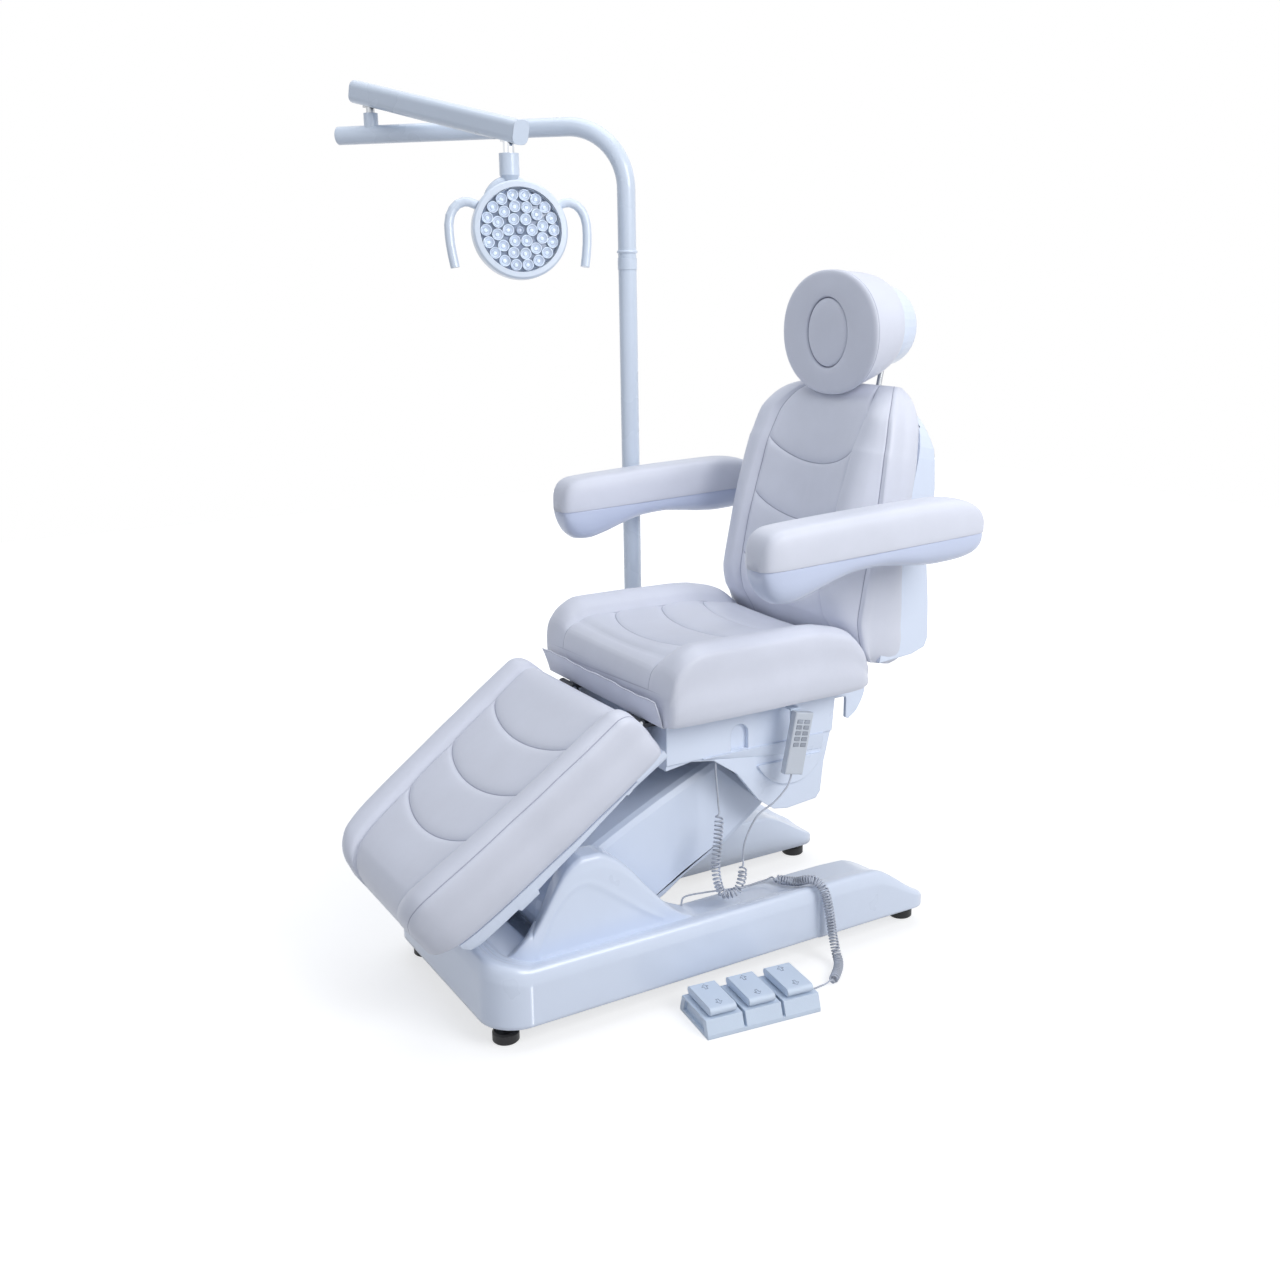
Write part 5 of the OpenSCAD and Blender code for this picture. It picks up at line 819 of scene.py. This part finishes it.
# Share across the arm from its inner edge, height between tray and rim, share of the housing's height
ACROSS = np.array([
    [0, 0, 0.9], [0.05, 0, 0.97], [0.12, 0, 1], [0.42, 0, 1], [0.49, 0, 0.97], [0.53, 0.02, 0.86],
    [0.56, 0.12, 0], [0.6, 0.3, 0], [0.635, 0.32, 0], [0.655, 0.27, 0], [0.675, 0.33, 0], [0.7, 0.56, 0],
    [0.73, 0.63, 0], [0.762, 0.6, 0], [0.785, 0.66, 0], [0.82, 0.93, 0], [0.86, 1, 0], [0.91, 0.97, 0],
    [0.95, 0.72, 0], [0.98, 0.2, 0], [1, -0.6, 0]])
# Share to the end of the arm's tail, height, width
TAIL = np.array([
    [0, 0.97, 1], [0.14, 0.9, 1], [0.4, 0.69, 1], [0.6, 0.5, 1], [0.74, 0.38, 0.99], [0.83, 0.31, 0.95],
    [0.9, 0.26, 0.86], [0.96, 0.18, 0.74], [1, 0.03, 0.6]])
# Places of the rings along the straight of the arm, dense at the step in its side
STRAIGHT = (350, 335, 320, 300, 280, 260, 240, 225, 216, 212, 210, 209, 208, 207, 206, 204, 200, 190, 170,
            145, 115, 85, 55, 25, 0, -25, -45)
# Inside of the cover, from the outer edge in: share across, move outward, share where its height is read
INSIDE = ((0.97, -2, 1), (0.8, 0, 0.8), (0.53, 0, 0.575), (0.495, 0, 0.505), (0.1, 0, 0.1), (0, 4, 0))
# The embossed line on the pivot housing's side face
ARC_LINE = ((-418, 150), (-407, 176), (-392, 208), (-374, 238), (-343, 268), (-312, 277), (-281, 264),
            (-235, 229), (-171, 180), (-140, 160))
# Where that face lies, and how far its line stands out and the face under it is sunk
FACE_X, FACE_Z = (195, 226), 150
LINE_OUT, LINE_W, SUNK = 1.6, 5.0, 1.2
# Places of a ring's points across the arm
across = np.concatenate([
    np.linspace(0, 0.12, 10)[:-1], np.linspace(0.12, 0.42, 8)[:-1], np.linspace(0.42, 0.53, 12)[:-1],
    np.linspace(0.53, 0.56, 38)[:-1], np.linspace(0.56, 1, 70)])
rise_at, hump_at = column(ACROSS, 1, across), column(ACROSS, 2, across)


def cover_ring(inner, outer, top, rise=0.0):
    """Closed section of the cover from its inner to its outer edge, with its walls' thickness."""
    inner, outer = np.array(inner, float), np.array(outer, float)
    xy = inner + (outer - inner) * across[:, None]
    z = COVER_GAP + (TRAY + (RIM - TRAY) * rise_at - COVER_GAP) * top + rise * hump_at
    low, lip = COVER_GAP + 0.01, min(9.0, (z[0] - COVER_GAP) * 0.4)
    z = z - lip * 0.45 * np.exp(-across * ARM_W / 2.2)
    away = (outer - inner) / max(1e-6, np.linalg.norm(outer - inner))
    pts = [[*inner, low + 0.6], [*inner, (low + z[0]) / 2]] + [[*c, h] for c, h in zip(xy, z)]
    pts += [[*outer, low + (z[-1] - low) * k] for k in (0.96, 0.7, 0.4, 0.1, 0.02)]
    pts += [[*(outer - away * 3.5), low], [*(outer - away * 4), low + (z[-1] - low) * 0.9]]
    for share, move, read in INSIDE:
        height = max(low, np.interp(read, across, z) - WALL)
        pts.append([*(inner + (outer - inner) * share + away * move), height])
    return pts + [[*(inner + away * 3.5), low]]


def tail_rings():
    for v in np.concatenate([np.linspace(1, 0.9, 9)[:-1], np.linspace(0.9, 0, 26)]):
        tall, wide = float(column(TAIL, 1, v)), float(column(TAIL, 2, v))
        middle, y = ARM_IN + ARM_W / 2, TAIL_Y + TAIL_REACH * v
        yield cover_ring([middle - ARM_W / 2 * wide, y], [middle + ARM_W / 2 * wide, y], tall)


def straight_rings():
    for y in STRAIGHT:
        inset = DRAFT / (1 + math.exp((y - STEP_Y) / 0.7))
        top = 0.97 + 0.03 * min(1, (TAIL_Y - y) / 60)
        yield cover_ring([ARM_IN, y], [HALF_W - inset, y], top)


def housing_rings():
    corner, bend = FRONT + CORNER_R, FRONT + ARM_W + INNER_R
    for v in np.linspace(1, 0, 112):
        y = HUMP_Y + HUMP_L * v
        inner_y = y if y > BEND_Y else bend + (BEND_Y - bend) * (y - corner) / (BEND_Y - corner)
        rise = HUMP_H * float(column(HUMP, 1, v))
        yield cover_ring([ARM_IN, inner_y], [HALF_W - DRAFT, max(y, corner + 2)], 1, rise)


def corner_rings():
    for a in np.arange(1, 31) / 30 * math.pi / 2:
        c, s = math.cos(a), math.sin(a)
        inner = (ARM_IN - INNER_R + INNER_R * c, FRONT + ARM_W + INNER_R - INNER_R * s)
        r = CORNER_R - DRAFT * c
        outer = (HALF_W - CORNER_R + r * c, FRONT + CORNER_R - r * s)
        far = min(1, a / HUMP_OUT)
        yield cover_ring(inner, outer, 1 + 0.15 * s, HUMP_H * HUMP[0, 1] * (1 - far * far * (3 - 2 * far)))


def emboss(rings):
    """Raises the arc on the pivot housing's side face, and sinks the face under it."""
    arc = spline(ARC_LINE, np.linspace(0, len(ARC_LINE) - 1, 400))
    wall = (rings[..., 0] > FACE_X[0]) & (rings[..., 0] < FACE_X[1]) & (rings[..., 2] > FACE_Z)
    yz = rings[wall][:, 1:]
    near = np.sqrt(((yz[:, None] - arc[None]) ** 2).sum(-1)).min(1)
    top_of = np.interp(yz[:, 0], arc[:, 0], arc[:, 1], left=0, right=0)
    sunk = SUNK / (1 + np.exp((yz[:, 1] - top_of) / 4)) * (top_of > 0)
    bent = rings[wall]
    bent[:, 0] += LINE_OUT * bell(near, LINE_W) - sunk
    rings[wall] = bent


def base_cover():
    rings = np.array([*tail_rings(), *straight_rings(), *housing_rings(), *corner_rings()])
    emboss(rings)
    mirrored = rings[::-1] * np.array([-1, 1, 1])
    place(skin("base_cover_shell", np.concatenate([rings, mirrored])), "base", "shell_plastic", "base_cover")


base_cover()

# Lens cups of the lamp, in rings round a dark sensor
LAMP_AT = (-493.997, -89.981, 1497.993)
LAMP_TILT, LAMP_TURN = math.radians(6), math.radians(-13)
LAMP_FACE = 82
# Radius, height over the lamp's plate, and painted shade from dark to pale
CUP = ((12.3, 0, 0.1), (12.5, 6, 0.3), (12.3, 9.4, 0.8), (11.6, 10.3, 1), (10.9, 9.8, 0.9), (10.2, 7.6, 0.5),
       (8.4, 4.8, 0.55), (6.4, 3.4, 0.66), (4.7, 2.9, 0.25), (4.3, 4.0, 0.8), (3.4, 5.4, 1), (2.0, 6.2, 1),
       (0.3, 6.5, 1))
PLATE = ((86.8, -2.4, 0), (87, -0.4, 0), (84, 0, 0), (40, 0.2, 0), (0.5, 0.3, 0))
SENSOR_EYE = ((9, 0, 0), (9, 5, 0.1), (7.5, 6.5, 0.2), (5, 6.6, 0), (4.4, 5.4, 0), (2.4, 6.4, 0.3),
              (0.3, 6.8, 0.5))
# Cups in each ring, its radius, and how far it is turned in shares of a cup
CUP_RINGS = ((6, 26.0, 0), (12, 50.4, 0.35), (18, 74.4, 0))


def lamp_frame(p):
    """Out of the lamp's face, across and up, to places of the whole."""
    x = p[..., 0] * math.cos(LAMP_TILT) - p[..., 2] * math.sin(LAMP_TILT)
    z = p[..., 0] * math.sin(LAMP_TILT) + p[..., 2] * math.cos(LAMP_TILT)
    c, s, y = math.cos(LAMP_TURN), math.sin(LAMP_TURN), p[..., 1]
    return np.stack([LAMP_AT[0] + x * c - y * s, LAMP_AT[1] + x * s + y * c, LAMP_AT[2] + z], -1)


def turned(profile, n, y=0.0, z=0.0):
    """Rows of a turned profile about (y, z) on the lamp's face, and the shades of their points."""
    a = circle(n)
    rows = [np.stack([np.full(n, LAMP_FACE + h), y + r * np.cos(a), z + r * np.sin(a)], -1)
            for r, h, _ in profile]
    return np.array(rows), np.repeat(np.array(profile)[:, 2:3], n, 1)


def lamp_cups():
    pieces = [turned(PLATE, 72), turned(SENSOR_EYE, 24)]
    for count, r, shift in CUP_RINGS:
        for turn in (np.arange(count) + shift) * 2 * math.pi / count:
            pieces.append(turned(CUP, 28, r * math.cos(turn), r * math.sin(turn)))
    verts, faces, shades = [], [], []
    for rows, shade in pieces:
        faces += ring_faces(*rows.shape[:2], first=len(verts))
        verts += list(lamp_frame(rows).reshape(-1, 3) * MM)
        shades += list(shade.flat)
    o = new_object("lamp_lens_cups", verts, faces)
    # Painted shade of each point, dark in the cups' hollows and at their feet
    set_attribute(o, "shade", shades)
    place(facing_out(o), "lamp_head", "cup_plastic", "led_cups", material="cup_shade")


lamp_cups()


# Small mouldings on the tub under the seat and in the base
def relief(name, outline, x0, x1, body, edge=1.2):
    """Flat moulded plate over an outline of (y, z) places, between two planes of x."""
    n = len(outline)
    verts = [(x * MM, y * MM, z * MM) for x in (x0, x1) for y, z in outline]
    o = facing_out(new_object(name, verts, ring_faces(2, n), smooth=False))
    modifier(o, "BEVEL", width=edge * MM, segments=3, limit_method="ANGLE", angle_limit=math.radians(25))
    place(o, body, "shell_plastic")


def rounded(points, r):
    """Outline with its corners cut to arcs of about r."""
    points = np.asarray(points, float)
    out = []
    for i, b in enumerate(points):
        da, dc = points[i - 1] - b, points[(i + 1) % len(points)] - b
        la, lc = np.linalg.norm(da), np.linalg.norm(dc)
        k = min(r, la * 0.45, lc * 0.45)
        p0, p1 = b + da / la * k, b + dc / lc * k
        out += [tuple((1 - t) ** 2 * p0 + 2 * t * (1 - t) * b + t * t * p1) for t in np.linspace(0, 1, 5)]
    return out


TOP_Z = SEAT_Z - 12
BY, BZ = BACK_PIN
PIVOT_FIN = (
    (BY - 85, TOP_Z - 1), (BY - 85, TOP_Z - 25), (BY - 25, TOP_Z - 25), (BY - 25.5, BZ - 74),
    (BY - 18, BZ - 77), (BY + 4, BZ - 62), (BY + 19, BZ - 38), (BY + 25, BZ - 20), (BY + 25, BZ),
    (BY + 15, TOP_Z - 0.5))
HALF_MOON = (
    (92, 434), (101, 421), (112, 408), (127, 395), (146, 385), (168, 380), (190, 379.5), (211, 384),
    (229, 394), (243, 407), (252, 420), (256, 434))
WING = ((254, 478), (279, 478), (279, 500), (286, 506), (286, TOP_Z - 2), (254, TOP_Z - 2))
# Floor of the well in front of the boom, over the frame's front beam
WELL_FLOOR = ((-436, 76), (-436, 80), (-316, 80), (-316, 76))
# Place along the tub, heights of the slope's lip and foot
SLOPE = (
    (-40, 474.8, 473.5), (0, 475, 466), (60, 475, 458), (120, 475, 450), (180, 475, 444), (258, 475, 440))
# Inner and outer faces of the mouldings, from the middle
FIN_IN, FIN_OUT = 169.8, 179
MOON_IN, MOON_OUT = 196, 206.6
WING_IN, WING_OUT = 190, 203
SLOPE_IN, SLOPE_FOOT, SLOPE_OUT = 198, 201.3, 208.5
WELL_HALF = 138


def tub_slope(side, k):
    """Sloping step along the tub's side."""
    rows = [[(k * SLOPE_IN, y, lip + 1), (k * SLOPE_OUT, y, lip + 1), (k * SLOPE_OUT, y, lip - 0.5),
             (k * SLOPE_FOOT, y, foot), (k * SLOPE_IN, y, foot)] for y, lip, foot in SLOPE]
    o = skin(f"tub_slope_{side}", rows)
    modifier(o, "EDGE_SPLIT", split_angle=math.radians(30))
    place(o, "carrier", "shell_plastic")


relief("tub_floor", rounded(WELL_FLOOR, 1.2), -WELL_HALF, WELL_HALF, "base")
for side, k in SIDES:
    relief(f"pivot_fin_{side}", rounded(PIVOT_FIN, 7), k * FIN_IN, k * FIN_OUT, "carrier")
    relief(f"tub_half_moon_{side}", rounded(HALF_MOON, 4), k * MOON_IN, k * MOON_OUT, "carrier", edge=2.5)
    relief(f"tub_wing_{side}", rounded(WING, 5), k * WING_IN, k * WING_OUT, "carrier", edge=1.6)
    tub_slope(side, k)

# Plain arrows along each pedal
ARROW = np.array([(-8, -2.6), (1, -2.6), (1, -7), (9, 0), (1, 7), (1, 2.6), (-8, 2.6)])
LINE_R = 0.6
SWITCH_AT = (368, -36)
SWITCH_TURN = math.radians(-7)
PEDAL_PITCH, PEDAL_TOP, ARROW_OUT = 84, 56.1, 30


def pedal_arrows(number):
    c, s = math.cos(SWITCH_TURN), math.sin(SWITCH_TURN)
    y = ARROW[:, 1] + (number - 2) * PEDAL_PITCH
    lines = []
    for way in (1, -1):
        x = way * (ARROW_OUT + ARROW[:, 0])
        at = (SWITCH_AT[0] + x * c - y * s, SWITCH_AT[1] + x * s + y * c, PEDAL_TOP + 0 * x)
        lines.append(np.stack(at, -1) * MM)
    o = new_curve(f"pedal_arrows_{number}", lines, LINE_R, closed=True)
    place(o, f"pedal_{number}", "switch_plastic", material="mark_grey")


for number in (1, 2, 3):
    pedal_arrows(number)

# Bead at the foot of the lamp's tube
POST_AT = (-480, 195)
BEAD_Z, BEAD_R, BEAD_OUT, BEAD_UP = 1464, 21.5, 2.6, 3.4


def tube_bead():
    rows = []
    for b in np.linspace(-math.pi / 2, math.pi / 2, 9):
        r, a = BEAD_R + BEAD_OUT * math.cos(b), circle(48)
        z = np.full(len(a), BEAD_Z + BEAD_UP * math.sin(b))
        rows.append(np.stack([POST_AT[0] + r * np.cos(a), POST_AT[1] + r * np.sin(a), z], -1))
    place(skin("tube_bead", rows), "lamp_tube", "post_paint")


tube_bead()


# Floor, background and light
def backdrop_rays(tree):
    """1 for a ray that shows the background: straight, mirrored or through glass."""
    path = node(tree, "ShaderNodeLightPath").outputs
    seen = node(tree, "ShaderNodeMath", {0: path["Is Camera Ray"], 1: path["Is Transmission Ray"]},
                operation="MAXIMUM")
    return node(tree, "ShaderNodeMath", {0: seen.outputs[0], 1: path["Is Glossy Ray"]},
                operation="MAXIMUM").outputs[0]


def add_floor():
    """Pale floor that keeps the object's shadow and turns to plain white away from it."""
    corners = [(x, y, -0.0005) for x, y in ((-6, -6), (6, -6), (6, 6), (-6, 6))]
    floor = new_object("floor", corners, [(0, 1, 2, 3)])
    m, tree, p, where = base_material("floor", (0.5, 0.5, 0.5), 0.7)
    p.inputs["Specular IOR Level"].default_value = 0.1
    finish_material(tree, p, rough=spread(tree, noise(tree, where, 3, 2), 0.65, 0.75))
    reach = node(tree, "ShaderNodeVectorMath", {0: where.outputs["Object"]}, operation="LENGTH")
    fade = {"Value": reach.outputs["Value"], "From Min": 0.7, "From Max": 2.2, "To Min": 0.66, "To Max": 1.0}
    pale = node(tree, "ShaderNodeMapRange", fade).outputs[0]
    lift = node(tree, "ShaderNodeMath", {0: backdrop_rays(tree), 1: pale}, operation="MULTIPLY")
    glow = node(tree, "ShaderNodeEmission", {"Color": (1, 1, 1, 1), "Strength": lift.outputs[0]})
    both = node(tree, "ShaderNodeAddShader", {0: p.outputs[0], 1: glow.outputs[0]})
    tree.links.new(both.outputs[0], tree.nodes["Material Output"].inputs["Surface"])
    floor.data.materials.append(m)


def add_world():
    world = bpy.data.worlds.new("world")
    scene.world = world
    world.use_nodes = True
    tree = world.node_tree
    tree.nodes.clear()
    sky = node(tree, "ShaderNodeBackground", {"Color": (0.82, 0.88, 1.0, 1), "Strength": 0.42})
    white = node(tree, "ShaderNodeBackground", {"Color": (1, 1, 1, 1), "Strength": 1.0})
    shaders = {0: backdrop_rays(tree), 1: sky.outputs[0], 2: white.outputs[0]}
    mixer = node(tree, "ShaderNodeMixShader", shaders)
    tree.links.new(mixer.outputs[0], node(tree, "ShaderNodeOutputWorld").inputs[0])


def area(name, location, aim, size, power, color=(1, 1, 1)):
    light = bpy.data.lights.new(name, "AREA")
    light.shape = "RECTANGLE"
    light.size, light.size_y = size
    light.energy = power
    light.color = color
    o = bpy.data.objects.new(name, light)
    scene.collection.objects.link(o)
    o.location = location
    o.rotation_euler = (Vector(aim) - Vector(location)).to_track_quat("-Z", "Y").to_euler()


add_floor()
add_world()
area("key", (3.4, 1.0, 2.8), (0, 0, 0.8), (2.0, 2.0), 92)
area("top", (-0.4, 0.2, 4.2), (0, 0, 0.6), (3.2, 3.2), 50, (0.95, 0.97, 1.0))
area("fill", (0.5, -4.0, 1.6), (0, 0, 0.7), (3.0, 2.4), 10, (0.9, 0.94, 1.0))

scene.view_settings.view_transform = "Standard"
